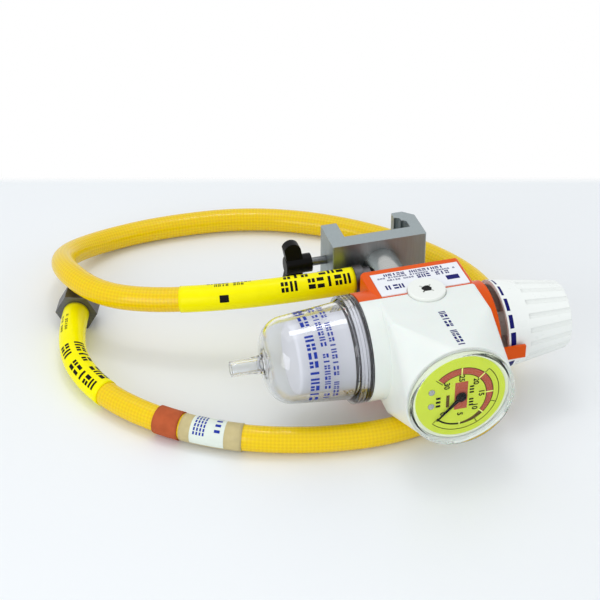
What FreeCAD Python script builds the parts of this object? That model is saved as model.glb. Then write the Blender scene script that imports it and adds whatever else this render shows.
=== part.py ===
import FreeCAD, Part
import math
import os

import Sketcher

# Wall regulator for low medical vacuum, with its supply hose, lying as it would on a table.
# X runs along the control knob's axis, Y points from the gauge back to the wall rail and
# Z is up. The origin is on the rail seat of the clamp. All lengths are in millimetres.

SIZES = {
    # moulded housing, measured from the seam between its two covers
    "seam_setback": 83.0,
    "house_half": 29.0,
    "house_left": 28.0,
    "house_right": 27.3,
    "rear_depth": 26.0,
    "prism_depth": 23.0,
    "front_depth": 54.0,
    "bezel_proud": 0.2,
    "bezel_wall": 2.4,
    "house_corner": 2.4,
    "cover_wall": 2.3,
    "collar_length": 9.0,
    "collar_wall": 2.4,
    "fit_gap": 0.3,
    # label, seam screws and index ring
    "label_width": 49.0,
    "label_height": 20.6,
    "label_thick": 0.5,
    "label_edge": 1.6,
    "screw_head_radius": 10.1,
    "screw_head_proud": 1.8,
    "screw_head_sink": 1.0,
    "screw_shank_radius": 3.5,
    "screw_socket_radius": 1.7,
    "screw_post_radius": 7.0,
    "ring_proud": 0.4,
    "ring_length": 6.4,
    "ring_bore": 20.0,
    "tab_width": 7.4,
    "tab_thick": 1.8,
    "tab_overlap": 8.4,
    # control knob
    "knob_gap": 4.6,
    "knob_length": 38.9,
    "knob_radius": 24.6,
    "knob_end_radius": 18.3,
    "knob_wall": 2.4,
    "knob_skirt_depth": 12.0,
    "knob_hub_radius": 6.5,
    "flute_length": 25.5,
    "flute_radius": 1.7,
    "flute_depth": 0.75,
    "flute_count": 18,
    "spindle_radius": 3.0,
    "spindle_start": 10.5,
    "spindle_in_knob": 21.4,
    "thrust_radius": 6.0,
    "thrust_thick": 2.0,
    "running_gap": 0.08,
    # pressure parts inside the housing
    "block_left": 19.0,
    "block_half_depth": 15.0,
    "block_rear": 22.6,
    "block_half_height": 22.3,
    "flange_rim": 2.6,
    "flange_thick": 5.0,
    "membrane_thick": 1.0,
    "plate_radius": 11.0,
    "plate_thick": 1.5,
    "bonnet_flange": 3.0,
    "bonnet_radius": 16.5,
    "bonnet_wall": 2.0,
    "bonnet_inset": 1.8,
    "neck_radius": 8.5,
    "neck_proud": 2.5,
    "carrier_thick": 3.0,
    "carrier_place": 15.5,
    "spring_radius": 8.5,
    "spring_wire": 1.5,
    "spring_turns": 3.0,
    "pin_radius": 1.5,
    "seat_radius": 5.0,
    "bonnet_screw_gap": 0.6,
    "tapped_length": 20.0,
    "bonnet_screw_radius": 1.4,
    "bonnet_screw_head": 2.3,
    # gauge
    "case_flange": 4.5,
    "case_step": 1.6,
    "case_wall": 1.6,
    "case_depth": 21.0,
    "dial_inset": 2.0,
    "dial_thick": 0.6,
    "lens_inset": 0.7,
    "lens_wall": 2.4,
    "lens_rise": 4.2,
    "lens_thick": 1.6,
    "pointer_length": 18.0,
    "pointer_width": 1.3,
    "pointer_hub_radius": 2.8,
    "pointer_thick": 0.5,
    "pointer_lift": 0.8,
    "arbor_radius": 0.9,
    "stem_radius": 4.2,
    "stem_bore": 1.5,
    "dial_screw_radius": 1.0,
    "dial_screw_head": 1.7,
    "dial_screw_length": 5.0,
    "dial_screw_spread": 4.4,
    "dial_screw_inset": 8.3,
    "dial_screw_rise": 1.2,
    "post_radius": 2.4,
    "tube_bend": 17.0,
    "tube_radius": 2.0,
    "tube_depth": 16.5,
    "movement_back_depth": 12.5,
    "movement_front_depth": 5.0,
    "movement_width": 20.0,
    "movement_height": 13.0,
    # filter jar
    "jar_flange_thick": 7.0,
    "jar_flange_inset": 0.1,
    "jar_groove": 0.5,
    "jar_groove_width": 0.8,
    "jar_groove_pitch": 1.8,
    "jar_flange_step": 2.7,
    "jar_taper": 3.0,
    "jar_body_length": 32.2,
    "jar_dome_radius": 13.6,
    "jar_dome_length": 11.6,
    "jar_dome_end_radius": 8.0,
    "jar_flare_radius": 3.2,
    "jar_wall": 1.7,
    "nozzle_flare": 2.4,
    "nozzle_root_radius": 4.9,
    "nozzle_taper": 6.0,
    "nozzle_grip": 9.4,
    "nozzle_radius": 4.1,
    "nozzle_bore": 2.7,
    "jar_neck_length": 5.6,
    "filter_gap": 1.1,
    "filter_taper": 1.7,
    "filter_end_gap": 2.5,
    "filter_wall": 1.4,
    "filter_rim_gap": 0.2,
    "adaptor_wall": 2.3,
    "adaptor_recess": 1.1,
    "adaptor_step": 1.0,
    "adaptor_hub": 9.0,
    "adaptor_bore": 1.8,
    "seal_thick": 0.8,
    # rail clamp
    "clamp_half_length": 16.0,
    "bar_thick": 9.3,
    "ear_left_out": 28.3,
    "ear_left_in": 18.9,
    "ear_right_in": 14.4,
    "ear_right_out": 26.8,
    "ear_left_reach": 15.2,
    "ear_right_reach": 16.8,
    "hook_back": 20.2,
    "hook_lobe": 5.6,
    "hook_cusp": 2.9,
    "hook_step": 2.0,
    "hook_lobe_radius": 2.2,
    "hook_crest_radius": 2.7,
    "hook_rise": 11.5,
    "ear_chamfer": 5.8,
    "boss_radius": 10.5,
    "boss_bore": 2.6,
    "boss_port": 20.5,
    "boss_screw_radius": 2.4,
    "boss_screw_head": 4.6,
    "boss_screw_sink": 5.0,
    "tail_thread": 4.5,
    "pad_clearance": 0.2,
    "clamp_screw_radius": 2.4,
    "clamp_screw_reach": 9.2,
    "pad_radius": 4.0,
    "pad_thick": 2.2,
    "knob_hub_length": 15.0,
    "knob_bore_depth": 8.0,
    "wing_hub_radius": 5.4,
    "wing_span": 30.0,
    "wing_thick": 5.6,
    "wing_width": 9.6,
    "wing_sweep": 2.2,
    # hose and probe
    "hose_radius": 7.0,
    "sleeve_thick": 0.5,
    "tail_radius": 6.6,
    "tail_collar_end": 15.0,
    "ferrule_thick": 1.1,
    "ferrule_length": 5.0,
    "label_sleeve_near": 97.0,
    "label_sleeve_far": 80.0,
    "red_band_from_probe": 117.5,
    "red_band_length": 14.0,
    "tag_length": 33.0,
    "probe_hex": 21.0,
    "probe_collar_length": 13.0,
    "probe_body_radius": 8.2,
    "probe_body_length": 12.0,
    "probe_nose_radius": 4.6,
    "probe_nose_length": 12.0,
}

# The hose lies where it was put down, so its route is a list of points chosen by hand.
# It leaves the boss, crosses over the probe, and runs round the table under the housing.
HOSE_ROUTE = [
    (-15.0, -20.5, 0.0),
    (-49.0, -20.5, 0.0),
    (-97.0, -9.5, -4.8),
    (-135.3, 6.4, -9.3),
    (-157.7, 24.9, -11.5),
    (-170.2, 56.1, -13.4),
    (-165.4, 90.3, -26.0),
    (-139.6, 115.3, -35.7),
    (-98.0, 122.5, -36.3),
    (-45.0, 118.5, -36.3),
    (2.0, 96.5, -36.3),
    (42.0, 60.0, -36.3),
    (68.0, 15.0, -36.3),
    (67.5, -30.0, -36.3),
    (49.0, -68.0, -36.3),
    (18.0, -100.0, -36.3),
    (-24.0, -113.0, -36.3),
    (-70.0, -108.5, -36.1),
    (-113.0, -93.0, -35.7),
    (-148.0, -65.5, -35.4),
    (-171.0, -31.0, -35.6),
    (-178.5, 8.0, -32.8),
    (-167.4, 38.6, -32.8),
]
ARC_SHARE = 0.45

# Half the angle that each flat of the square still holds where it meets the round bezel.
FLAT_HALF_ANGLE = math.radians(5.0)

document = FreeCAD.newDocument("vacuum_regulator")
sheet = document.addObject("Spreadsheet::Sheet", "Sizes")
for row, (name, value) in enumerate(SIZES.items(), start=1):
    sheet.set("A%d" % row, name)
    sheet.set("B%d" % row, str(value))
    sheet.setAlias("B%d" % row, name)
document.recompute()


class Length:
    """A length with its present value and the sheet expression that gives it."""

    def __init__(self, value, text):
        self.value = float(value)
        self.text = text

    def __add__(self, other):
        other = length(other)
        return Length(self.value + other.value, "(%s + %s)" % (self.text, other.text))

    def __sub__(self, other):
        other = length(other)
        return Length(self.value - other.value, "(%s - %s)" % (self.text, other.text))

    def __mul__(self, other):
        other = length(other)
        return Length(self.value * other.value, "(%s * %s)" % (self.text, other.text))

    def __truediv__(self, other):
        other = length(other)
        return Length(self.value / other.value, "(%s / %s)" % (self.text, other.text))

    def __neg__(self):
        return Length(-self.value, "(0 - %s)" % self.text)

    __radd__ = __add__
    __rmul__ = __mul__

    def __rsub__(self, other):
        return length(other) - self


def length(number):
    if isinstance(number, Length):
        return number
    return Length(number, "(0 - %.9f)" % -number if number < 0 else "%.9f" % number)


class Sizes:
    """Reads every cell of the sheet by its name."""

    def __getattr__(self, name):
        return Length(SIZES[name], "Sizes.%s" % name)


S = Sizes()

ALONG_KNOB = FreeCAD.Rotation()
ALONG_FRONT = FreeCAD.Rotation(FreeCAD.Vector(0, 0, 1), -90)
ALONG_BACK = FreeCAD.Rotation(FreeCAD.Vector(0, 0, 1), 90)
ALONG_UP = FreeCAD.Rotation(FreeCAD.Vector(0, 1, 0), -90)
ALONG_DOWN = FreeCAD.Rotation(FreeCAD.Vector(0, 1, 0), 90)
FACING_FRONT = FreeCAD.Rotation(FreeCAD.Vector(1, 0, 0), 90)

SEAM_Y = -S.seam_setback
HOUSE_CENTRE = (0, SEAM_Y, 0)

# Places and radii that follow from a neighbour's size and a named gap or step.
# Along the knob's axis, to the right of the housing:
ring_radius = S.knob_radius + S.ring_proud
ring_start = S.house_right + S.fit_gap
ring_end = ring_start + S.ring_length
knob_start = ring_end + S.knob_gap
knob_end = knob_start + S.knob_length
tab_end = knob_start + S.tab_overlap
flute_start = knob_end - S.flute_length
spindle_end = knob_start + S.spindle_in_knob
bonnet_end = S.house_right - S.bonnet_inset
neck_end = ring_end + S.neck_proud
bonnet_bore = S.bonnet_radius - S.bonnet_wall
bonnet_screw_circle = S.bonnet_radius + S.bonnet_screw_head + S.bonnet_screw_gap
flange_radius = bonnet_screw_circle + S.flange_rim

# Along the same axis, to the left of the housing:
collar_radius = S.house_half
collar_bore = collar_radius - S.collar_wall
jar_face = S.house_left + S.collar_length + S.seal_thick
jar_flange_left = jar_face + S.jar_flange_thick
jar_shoulder = jar_flange_left + S.jar_body_length
jar_dome = jar_shoulder + S.jar_dome_length
nozzle_root = jar_dome + S.nozzle_flare
nozzle_straight = nozzle_root + S.nozzle_taper
nozzle_end = nozzle_straight + S.nozzle_grip
adaptor_start = jar_face - S.adaptor_recess
adaptor_floor = S.house_left + S.adaptor_step
adaptor_radius = collar_bore - S.fit_gap
jar_flange_radius = collar_radius - S.jar_flange_inset
jar_root_radius = jar_flange_radius - S.jar_flange_step
jar_shoulder_radius = jar_root_radius - S.jar_taper
jar_neck_radius = adaptor_radius - S.adaptor_wall
neck_bore = jar_neck_radius - S.jar_wall
filter_rim = jar_face + S.filter_rim_gap
filter_end = jar_shoulder - S.filter_end_gap
filter_radius = neck_bore - S.filter_gap
filter_end_radius = filter_radius - S.filter_taper

# In front of the seam, where the gauge's parts lie so far behind or before its dial:
case_front = S.front_depth
case_back = case_front - S.case_depth
tube_place = case_front - S.tube_depth
movement_back = case_front - S.movement_back_depth
movement_front = case_front - S.movement_front_depth
lens_front = case_front + S.lens_rise
bezel_radius = S.house_half + S.bezel_proud
case_radius = bezel_radius - S.bezel_wall - S.fit_gap * 2
case_body_radius = case_radius - S.case_step
dial_radius = case_radius - S.dial_inset
dial_screw_side = dial_radius - S.dial_screw_inset
lens_radius = bezel_radius - S.lens_inset


def bind(item, path, value):
    """Tie one property of an object to the sheet."""
    item.setExpression(path, length(value).text)


def put(item, at, turn=ALONG_KNOB):
    """Place an object, with each coordinate tied to the sheet."""
    at = [length(value) for value in at]
    item.Placement = FreeCAD.Placement(FreeCAD.Vector(*[value.value for value in at]), turn)
    for axis, value in zip("xyz", at):
        bind(item, ".Placement.Base.%s" % axis, value)
    return item


def plane_of(body, role):
    return [item for item in body.Origin.OriginFeatures if item.Role == role][0]


def outline(body, name, points, role="XY_Plane", offset=None, arcs=None):
    """Sketch a closed outline whose corners, and the radii of its arcs, follow the sheet.

    arcs maps a corner's index to (radius, bulge) for a round stretch to the next corner.
    """
    arcs = arcs or {}
    sketch = body.newObject("Sketcher::SketchObject", name)
    sketch.AttachmentSupport = [(plane_of(body, role), "")]
    sketch.MapMode = "FlatFace"
    if offset is not None:
        offset = length(offset)
        sketch.AttachmentOffset = FreeCAD.Placement(
            FreeCAD.Vector(0, 0, offset.value), FreeCAD.Rotation()
        )
        bind(sketch, ".AttachmentOffset.Base.z", offset)
    corners = [(length(x), length(y)) for x, y in points]
    spots = [FreeCAD.Vector(x.value, y.value, 0) for x, y in corners]
    rules = []
    for index, start in enumerate(spots):
        end = spots[(index + 1) % len(spots)]
        if index in arcs:
            radius, bulge = arcs[index]
            radius = length(radius)
            chord = end - start
            sagitta = radius.value - math.sqrt(max(radius.value ** 2 - chord.Length ** 2 / 4, 0))
            side = FreeCAD.Vector(chord.y, -chord.x, 0).normalize()
            middle = (start + end) / 2 + side * sagitta * bulge
            leftward = (end - start).cross(middle - start).z < 0
            ends = (1, 2) if leftward else (2, 1)
            arc = Part.Arc(start, middle, end) if leftward else Part.Arc(end, middle, start)
            sketch.addGeometry(arc, False)
            rules.append(("radius", index, radius, ends))
        else:
            sketch.addGeometry(Part.LineSegment(start, end), False)
            rules.append(("line", index, None, (1, 2)))
    count = len(spots)
    for index in range(count):
        following = (index + 1) % count
        sketch.addConstraint(
            Sketcher.Constraint("Coincident", index, rules[index][3][1], following, rules[following][3][0])
        )
    for index, (x, y) in enumerate(corners):
        first = rules[index][3][0]
        for kind, value in (("DistanceX", x), ("DistanceY", y)):
            number = sketch.addConstraint(
                Sketcher.Constraint(kind, -1, 1, index, first, value.value)
            )
            bind(sketch, "Constraints[%d]" % number, value)
    for kind, index, radius, ends in rules:
        if kind == "radius":
            number = sketch.addConstraint(Sketcher.Constraint("Radius", index, radius.value))
            bind(sketch, "Constraints[%d]" % number, radius)
    return sketch


def new_body(label, at=(0, 0, 0), turn=ALONG_KNOB):
    body = document.addObject("PartDesign::Body", label)
    body.Label = label
    put(body, at, turn)
    return body


def revolve(body, points, angle=360, arcs=None, name="Turned", kind="PartDesign::Revolution"):
    """Turn an outline of (along, radius) points about the body's X axis."""
    sketch = outline(body, name + "Outline", points, arcs=arcs)
    feature = body.newObject(kind, name)
    feature.Profile = sketch
    feature.ReferenceAxis = (sketch, ["H_Axis"])
    feature.Angle = angle
    return feature


def turned(label, points, at=HOUSE_CENTRE, turn=ALONG_KNOB, arcs=None):
    body = new_body(label, at, turn)
    revolve(body, points, arcs=arcs)
    return body


def pad(body, points, depth, role="XY_Plane", offset=None, arcs=None, name="Profile", mid=False):
    sketch = outline(body, name + "Outline", points, role, offset, arcs)
    feature = body.newObject("PartDesign::Pad", name)
    feature.Profile = sketch
    feature.Length = length(depth).value
    bind(feature, "Length", depth)
    if mid:
        feature.SideType = "Symmetric"
    return feature


def edges_at(shape, spots):
    """Names of the edges that pass through each spot, not only end there."""
    names = []
    for spot in spots:
        point = FreeCAD.Vector(*[length(value).value for value in spot])
        for index, edge in enumerate(shape.Edges, start=1):
            if edge.distToShape(Part.Vertex(point))[0] > 1e-4:
                continue
            ends = [vertex.Point for vertex in edge.Vertexes]
            if len(ends) > 1 and min((end - point).Length for end in ends) < 1e-4:
                continue
            names.append("Edge%d" % index)
    return names


def soften(body, spots, radius, name="Round", kind="PartDesign::Fillet"):
    """Round or chamfer the body's edges that pass through the spots."""
    document.recompute()
    base = body.Tip
    feature = body.newObject(kind, name)
    feature.Base = (base, edges_at(base.Shape, spots))
    size = "Radius" if kind == "PartDesign::Fillet" else "Size"
    setattr(feature, size, length(radius).value)
    bind(feature, size, radius)
    return feature


def cylinder(label, radius, height, at, turn=ALONG_KNOB):
    """A cylinder that starts at a point and runs along the turned X axis."""
    item = document.addObject("Part::Cylinder", label)
    item.Radius = length(radius).value
    item.Height = length(height).value
    bind(item, "Radius", radius)
    bind(item, "Height", height)
    return put(item, at, turn * FreeCAD.Rotation(FreeCAD.Vector(0, 1, 0), 90))


def block(label, sides, at):
    item = document.addObject("Part::Box", label)
    for name, value in zip(("Length", "Width", "Height"), sides):
        setattr(item, name, length(value).value)
        bind(item, name, value)
    return put(item, at)


def cut(label, base, tools):
    """Take each tool from the base, one after the other."""
    for number, tool in enumerate(tools, start=1):
        last = number == len(tools)
        item = document.addObject("Part::Cut", label if last else "%s_cut_%d" % (label, number))
        item.Base = base
        item.Tool = tool
        base = item
    base.Label = label
    return base


def fuse(label, shapes):
    item = document.addObject("Part::MultiFuse", label)
    item.Label = label
    item.Shapes = shapes
    return item


def common(label, base, tool):
    item = document.addObject("Part::MultiCommon", label)
    item.Label = label
    item.Shapes = [base, tool]
    return item


NODES = {}


def node(label, item):
    """Keep an object as a sub-part, under the name of its file."""
    item.Label = label
    NODES[label] = item
    return item


# Housing. One moulded form, square at the seam and round at the gauge, split into two covers.


def square_section(body, name, inset, offset):
    """A rounded square of the housing's section, drawn a wall's thickness further in."""
    left = -(S.house_left - inset)
    right = S.house_right - inset
    top = S.house_half - inset
    corner = S.house_corner
    points = [
        (left + corner, -top), (right - corner, -top),
        (right, -top + corner), (right, top - corner),
        (right - corner, top), (left + corner, top),
        (left, top - corner), (left, -top + corner),
    ]
    return outline(body, name, points, offset=offset, arcs={index: (corner, 1) for index in (1, 3, 5, 7)})


def round_section(body, name, radius, offset):
    """The round end, drawn as eight arcs that answer the eight sides of the square."""
    points = []
    for quarter in range(4):
        middle = math.radians(-90 + 90 * quarter)
        for angle in (middle - FLAT_HALF_ANGLE, middle + FLAT_HALF_ANGLE):
            points.append((radius * math.cos(angle), radius * math.sin(angle)))
    return outline(body, name, points, offset=offset, arcs={index: (radius, 1) for index in range(8)})


def housing_form(label, inset, back, front_radius, front):
    """The square prism and the taper from square to round, as one solid."""
    body = new_body(label, HOUSE_CENTRE, FACING_FRONT)
    prism = body.newObject("PartDesign::Pad", "Prism")
    prism.Profile = square_section(body, "BackSquare", inset, -back)
    prism.Length = (back + S.prism_depth).value
    bind(prism, "Length", back + S.prism_depth)
    taper = body.newObject("PartDesign::AdditiveLoft", "Taper")
    taper.Profile = square_section(body, "FrontSquare", inset, S.prism_depth)
    taper.Sections = [round_section(body, "Bezel", front_radius, front)]
    taper.Ruled = True
    body.Tip = taper
    return body


outer = housing_form("housing_outer", length(0), S.rear_depth, bezel_radius, S.front_depth)
collar = turned("housing_collar", [
    (-(S.house_left + S.collar_length), collar_bore),
    (-(S.house_left + S.collar_length), collar_radius),
    (-(S.house_left - S.cover_wall), collar_radius),
    (-(S.house_left - S.cover_wall), collar_bore),
])
moulding = fuse("housing_moulding", [outer, collar])
cavity = housing_form(
    "housing_cavity", S.cover_wall, S.rear_depth - S.cover_wall,
    case_radius + S.fit_gap * 2, S.front_depth + 1,
)
collar_opening = cylinder(
    "collar_opening", collar_bore, S.collar_length + S.cover_wall + 1,
    (-(S.house_left + S.collar_length + 1), SEAM_Y, 0),
)
neck_opening = cylinder(
    "neck_opening", S.ring_bore, S.cover_wall + 2, (S.house_right - S.cover_wall - 1, SEAM_Y, 0)
)
boss_opening = cylinder(
    "boss_opening", S.boss_radius + S.fit_gap, S.cover_wall + 2,
    (0, SEAM_Y + S.rear_depth - S.cover_wall - 1, 0), ALONG_BACK,
)
head_openings = [
    cylinder("head_opening_" + side, S.screw_head_radius + S.fit_gap, S.screw_head_sink + 1,
             (0, SEAM_Y, sign * (S.house_half - S.screw_head_sink)), turn)
    for side, sign, turn in (("top", 1, ALONG_UP), ("bottom", -1, ALONG_DOWN))
]
shank_opening = cylinder(
    "shank_opening", S.screw_shank_radius + S.fit_gap, S.house_half * 2 + 2,
    (0, SEAM_Y, -S.house_half - 1), ALONG_UP,
)
label_opening = block(
    "label_opening", (S.label_width + 0.2, S.label_height + S.label_edge + 0.2, S.label_thick + 1),
    (-S.label_width / 2 + 0.3, SEAM_Y, S.house_half - S.label_thick),
)
post_length = S.house_half - S.cover_wall - S.block_half_height + 0.5
posts = [
    cylinder("screw_post_" + side, S.screw_post_radius, post_length,
             (0, SEAM_Y, sign * S.block_half_height), turn)
    for side, sign, turn in (("top", 1, ALONG_UP), ("bottom", -1, ALONG_DOWN))
]
walls = fuse("housing_walls", [cut("housing_hollow", moulding, [cavity])] + posts)
shell = cut("housing_shell", walls, [
    collar_opening, neck_opening, boss_opening, shank_opening,
] + head_openings)
front_half = block(
    "front_half", (S.house_left * 4, S.front_depth + 10, S.house_half * 4),
    (-S.house_left * 2, SEAM_Y - S.front_depth - 10, -S.house_half * 2),
)
node("front_cover", common("front_cover", shell, front_half))
node("rear_cover", cut("rear_cover", shell, [front_half, label_opening]))
label_body = block(
    "label_body", (S.label_width, S.label_height, S.label_thick + 0.1),
    (-S.label_width / 2 + 0.4, SEAM_Y + S.label_edge, S.house_half - S.label_thick),
)
label_hole = cylinder(
    "label_hole", S.screw_head_radius + S.fit_gap, 4, (0, SEAM_Y, S.house_half - 2), ALONG_UP
)
node("label_plate", cut("label_plate", label_body, [label_hole]))

# Seam screws. Two wide cross-slotted heads clamp both covers to the block.

SCREW_DEPTH = 5

def seam_screw(label, sign, turn):
    top = S.screw_head_proud + S.house_half
    foot = S.block_half_height - SCREW_DEPTH
    stem = new_body(label, HOUSE_CENTRE, turn)
    revolve(stem, [
        (foot, 0), (foot, S.screw_shank_radius), (S.house_half - S.screw_head_sink, S.screw_shank_radius),
        (S.house_half - S.screw_head_sink, S.screw_head_radius), (top, S.screw_head_radius), (top, 0),
    ])
    soften(stem, [(top, S.screw_head_radius, 0)], 0.6)
    return stem


cover_screw_stems = [
    seam_screw("cover_screw_top", 1, ALONG_UP), seam_screw("cover_screw_bottom", -1, ALONG_DOWN)
]
slot_cuts = []
SLOT_TURN = 45
for side, turn in (("top", ALONG_UP), ("bottom", ALONG_DOWN)):
    recess = cylinder(
        "recess_" + side, S.screw_socket_radius, 3,
        (0, SEAM_Y, (S.house_half + S.screw_head_proud - 2.2) * (1 if side == "top" else -1)), turn,
    )
    slot_cuts.append(recess)
    for arm in range(2):
        slot = document.addObject("Part::Box", "slot_%s_%d" % (side, arm))
        slot.Length = 8.4
        slot.Width = 0.9
        slot.Height = 3
        spin = FreeCAD.Rotation(FreeCAD.Vector(0, 0, 1), SLOT_TURN + 90 * arm)
        corner = spin.multVec(FreeCAD.Vector(-4.2, -0.45, 0))
        height = S.house_half + S.screw_head_proud - 1.2
        if side == "bottom":
            height = -height - 3
        put(slot, (corner.x, SEAM_Y + corner.y, height), spin)
        slot_cuts.append(slot)
node("cover_screws", cut("cover_screws", fuse("screw_stems", cover_screw_stems), slot_cuts))

# Index ring. It stands on the housing's end and its tab reaches over the knob's skirt.

ring = turned("index_ring_body", [
    (ring_start, S.ring_bore), (ring_start, ring_radius),
    (ring_end, ring_radius), (ring_end, S.ring_bore),
])
tab_reach = tab_end - ring_start
tab = block(
    "index_tab", (tab_reach, S.tab_thick, S.tab_width),
    (ring_start, SEAM_Y - S.knob_radius - S.fit_gap * 2 - S.tab_thick, -S.tab_width / 2 - 0.6),
)
tab_root = block(
    "index_tab_root", (ring_end - ring_start, S.knob_radius - S.ring_bore, S.tab_width),
    (ring_start, SEAM_Y - S.knob_radius - S.fit_gap * 2, -S.tab_width / 2 - 0.6),
)
ring_hole = cylinder(
    "index_ring_hole", S.ring_bore, ring_end, (ring_start - 1, SEAM_Y, 0)
)
node("index_ring", cut("index_ring", fuse("index_ring_parts", [ring, tab, tab_root]), [ring_hole]))

# Control knob, a tapered cap with a smooth skirt and a fluted grip.

knob = new_body("control_knob", HOUSE_CENTRE)
taper_rate = (S.knob_radius - S.knob_end_radius) / (knob_end - knob_start)
revolve(knob, [
    (knob_start, S.knob_radius - S.knob_wall), (knob_start, S.knob_radius),
    (knob_end, S.knob_end_radius), (knob_end, 0),
    (spindle_end + S.fit_gap, 0), (spindle_end + S.fit_gap, S.spindle_radius + S.running_gap),
    (knob_start + 1, S.spindle_radius + S.running_gap), (knob_start + 1, S.knob_hub_radius),
    (knob_start + S.knob_skirt_depth, S.knob_hub_radius),
    (knob_start + S.knob_skirt_depth, S.knob_radius - S.knob_wall * 1.8),
])
soften(knob, [(knob_end, S.knob_end_radius, 0)], 1.6)
flute_angle = math.degrees(math.atan(taper_rate.value))
flute = knob.newObject("PartDesign::SubtractiveCylinder", "Flute")
flute_turn = FreeCAD.Rotation(FreeCAD.Vector(0, 1, 0), 90) * FreeCAD.Rotation(
    FreeCAD.Vector(1, 0, 0), flute_angle
)
flute_height = S.knob_radius - taper_rate * (flute_start - knob_start) + S.flute_radius - S.flute_depth
flute.Radius = S.flute_radius.value
bind(flute, "Radius", S.flute_radius)
flute.Height = (S.flute_length + 5).value
bind(flute, "Height", S.flute_length + 5)
flute.AttachmentSupport = []
flute.MapMode = "Deactivated"
put(flute, (flute_start, flute_height, 0), flute_turn)
knob.Tip = flute
flutes = knob.newObject("PartDesign::PolarPattern", "Flutes")
flutes.Originals = [flute]
flutes.Axis = (plane_of(knob, "X_Axis"), [""])
flutes.Angle = 360
flutes.Occurrences = int(S.flute_count.value)
bind(flutes, "Occurrences", S.flute_count)
knob.Tip = flutes
node("control_knob", knob)

# Regulator. A cast block carries the ports, and a bonnet holds the spring over the diaphragm.

SEAT_DEPTH = 3
PORT_DEPTH = 8
POPPET_THICK = 2
block_box = block(
    "block_box", (S.block_left + 1, S.block_half_depth * 2, S.block_half_height * 2),
    (-S.block_left, SEAM_Y - S.block_half_depth, -S.block_half_height),
)
block_flange = turned("block_flange", [
    (0, 0), (0, flange_radius), (S.flange_thick, flange_radius), (S.flange_thick, 0),
])
rear_pad = block(
    "block_rear_pad", (S.boss_radius + S.flange_thick, S.block_rear, S.boss_radius * 2),
    (-S.boss_radius, SEAM_Y, -S.boss_radius),
)
chamber = cylinder("chamber", S.bonnet_radius - S.bonnet_wall, 2, (S.flange_thick - 2, SEAM_Y, 0))
through_port = cylinder(
    "through_port", S.pin_radius + 0.6, S.block_left + S.flange_thick + 2,
    (-S.block_left - 1, SEAM_Y, 0),
)
left_port = cylinder(
    "left_port", S.seat_radius + S.running_gap, PORT_DEPTH + 1, (-S.block_left - 1, SEAM_Y, 0)
)
stem_start = S.block_half_depth + 1 - PORT_DEPTH
gauge_port = cylinder(
    "gauge_port", S.stem_radius, flange_radius + 1 - stem_start,
    (0, SEAM_Y - flange_radius - 1, 0), ALONG_BACK,
)
gauge_drill = cylinder(
    "gauge_drill", S.stem_bore, S.block_half_depth, (0, SEAM_Y - S.block_half_depth, 0), ALONG_BACK
)
screw_ports = [
    cylinder("screw_port_" + side, S.screw_shank_radius + S.running_gap, SCREW_DEPTH + 1,
             (0, SEAM_Y, sign * (S.block_half_height - SCREW_DEPTH)), turn)
    for side, sign, turn in (("top", 1, ALONG_UP), ("bottom", -1, ALONG_DOWN))
]
rear_port = cylinder("rear_port", S.boss_bore, S.block_rear + 2, (0, SEAM_Y - 1, 0), ALONG_BACK)
bonnet_angles = [45, 135, 225, 315]


def on_bonnet(angle, along):
    """A point on the circle of the bonnet's screws."""
    turn = math.radians(angle)
    return (
        along, SEAM_Y + bonnet_screw_circle * math.cos(turn), bonnet_screw_circle * math.sin(turn)
    )


BONNET_SCREW_START = S.flange_thick - 4
tapped = [
    cylinder("tapped_%d" % angle, S.bonnet_screw_radius + S.running_gap, S.tapped_length,
             on_bonnet(angle, BONNET_SCREW_START))
    for angle in bonnet_angles
]
node("regulator_block", cut("regulator_block", fuse("block_solid", [block_box, block_flange, rear_pad]), [
    chamber, through_port, left_port, gauge_port, gauge_drill, rear_port,
] + screw_ports + tapped))

# Diaphragm, a moulded rubber disc with one fold, and the plate that spreads the spring's load.

FOLD_WIDTH = 1.6
fold_inner = S.plate_radius + 0.6
membrane_top = S.flange_thick + S.membrane_thick
membrane = turned("membrane_disc", [
    (S.flange_thick, 0), (S.flange_thick, fold_inner), (S.flange_thick, fold_inner + FOLD_WIDTH),
    (S.flange_thick, flange_radius), (membrane_top, flange_radius),
    (membrane_top, fold_inner + FOLD_WIDTH), (membrane_top, fold_inner), (membrane_top, 0),
], arcs={1: (FOLD_WIDTH * 0.6, -1), 5: (FOLD_WIDTH * 0.6, 1)})
membrane_holes = [
    cylinder("membrane_hole_%d" % angle, S.bonnet_screw_radius + S.running_gap, S.tapped_length,
             on_bonnet(angle, BONNET_SCREW_START))
    for angle in bonnet_angles
]
node("diaphragm", cut("diaphragm", membrane, membrane_holes))
plate_top = membrane_top + S.plate_thick
spring_guide = S.spring_radius - S.spring_wire / 2 - 0.6
node("diaphragm_plate", turned("diaphragm_plate", [
    (membrane_top, 0), (membrane_top, S.plate_radius), (plate_top, S.plate_radius),
    (plate_top, spring_guide), (plate_top + 2, spring_guide), (plate_top + 2, 0),
]))

# Bonnet, with two inner ribs that keep the spring carrier from turning.

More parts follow.
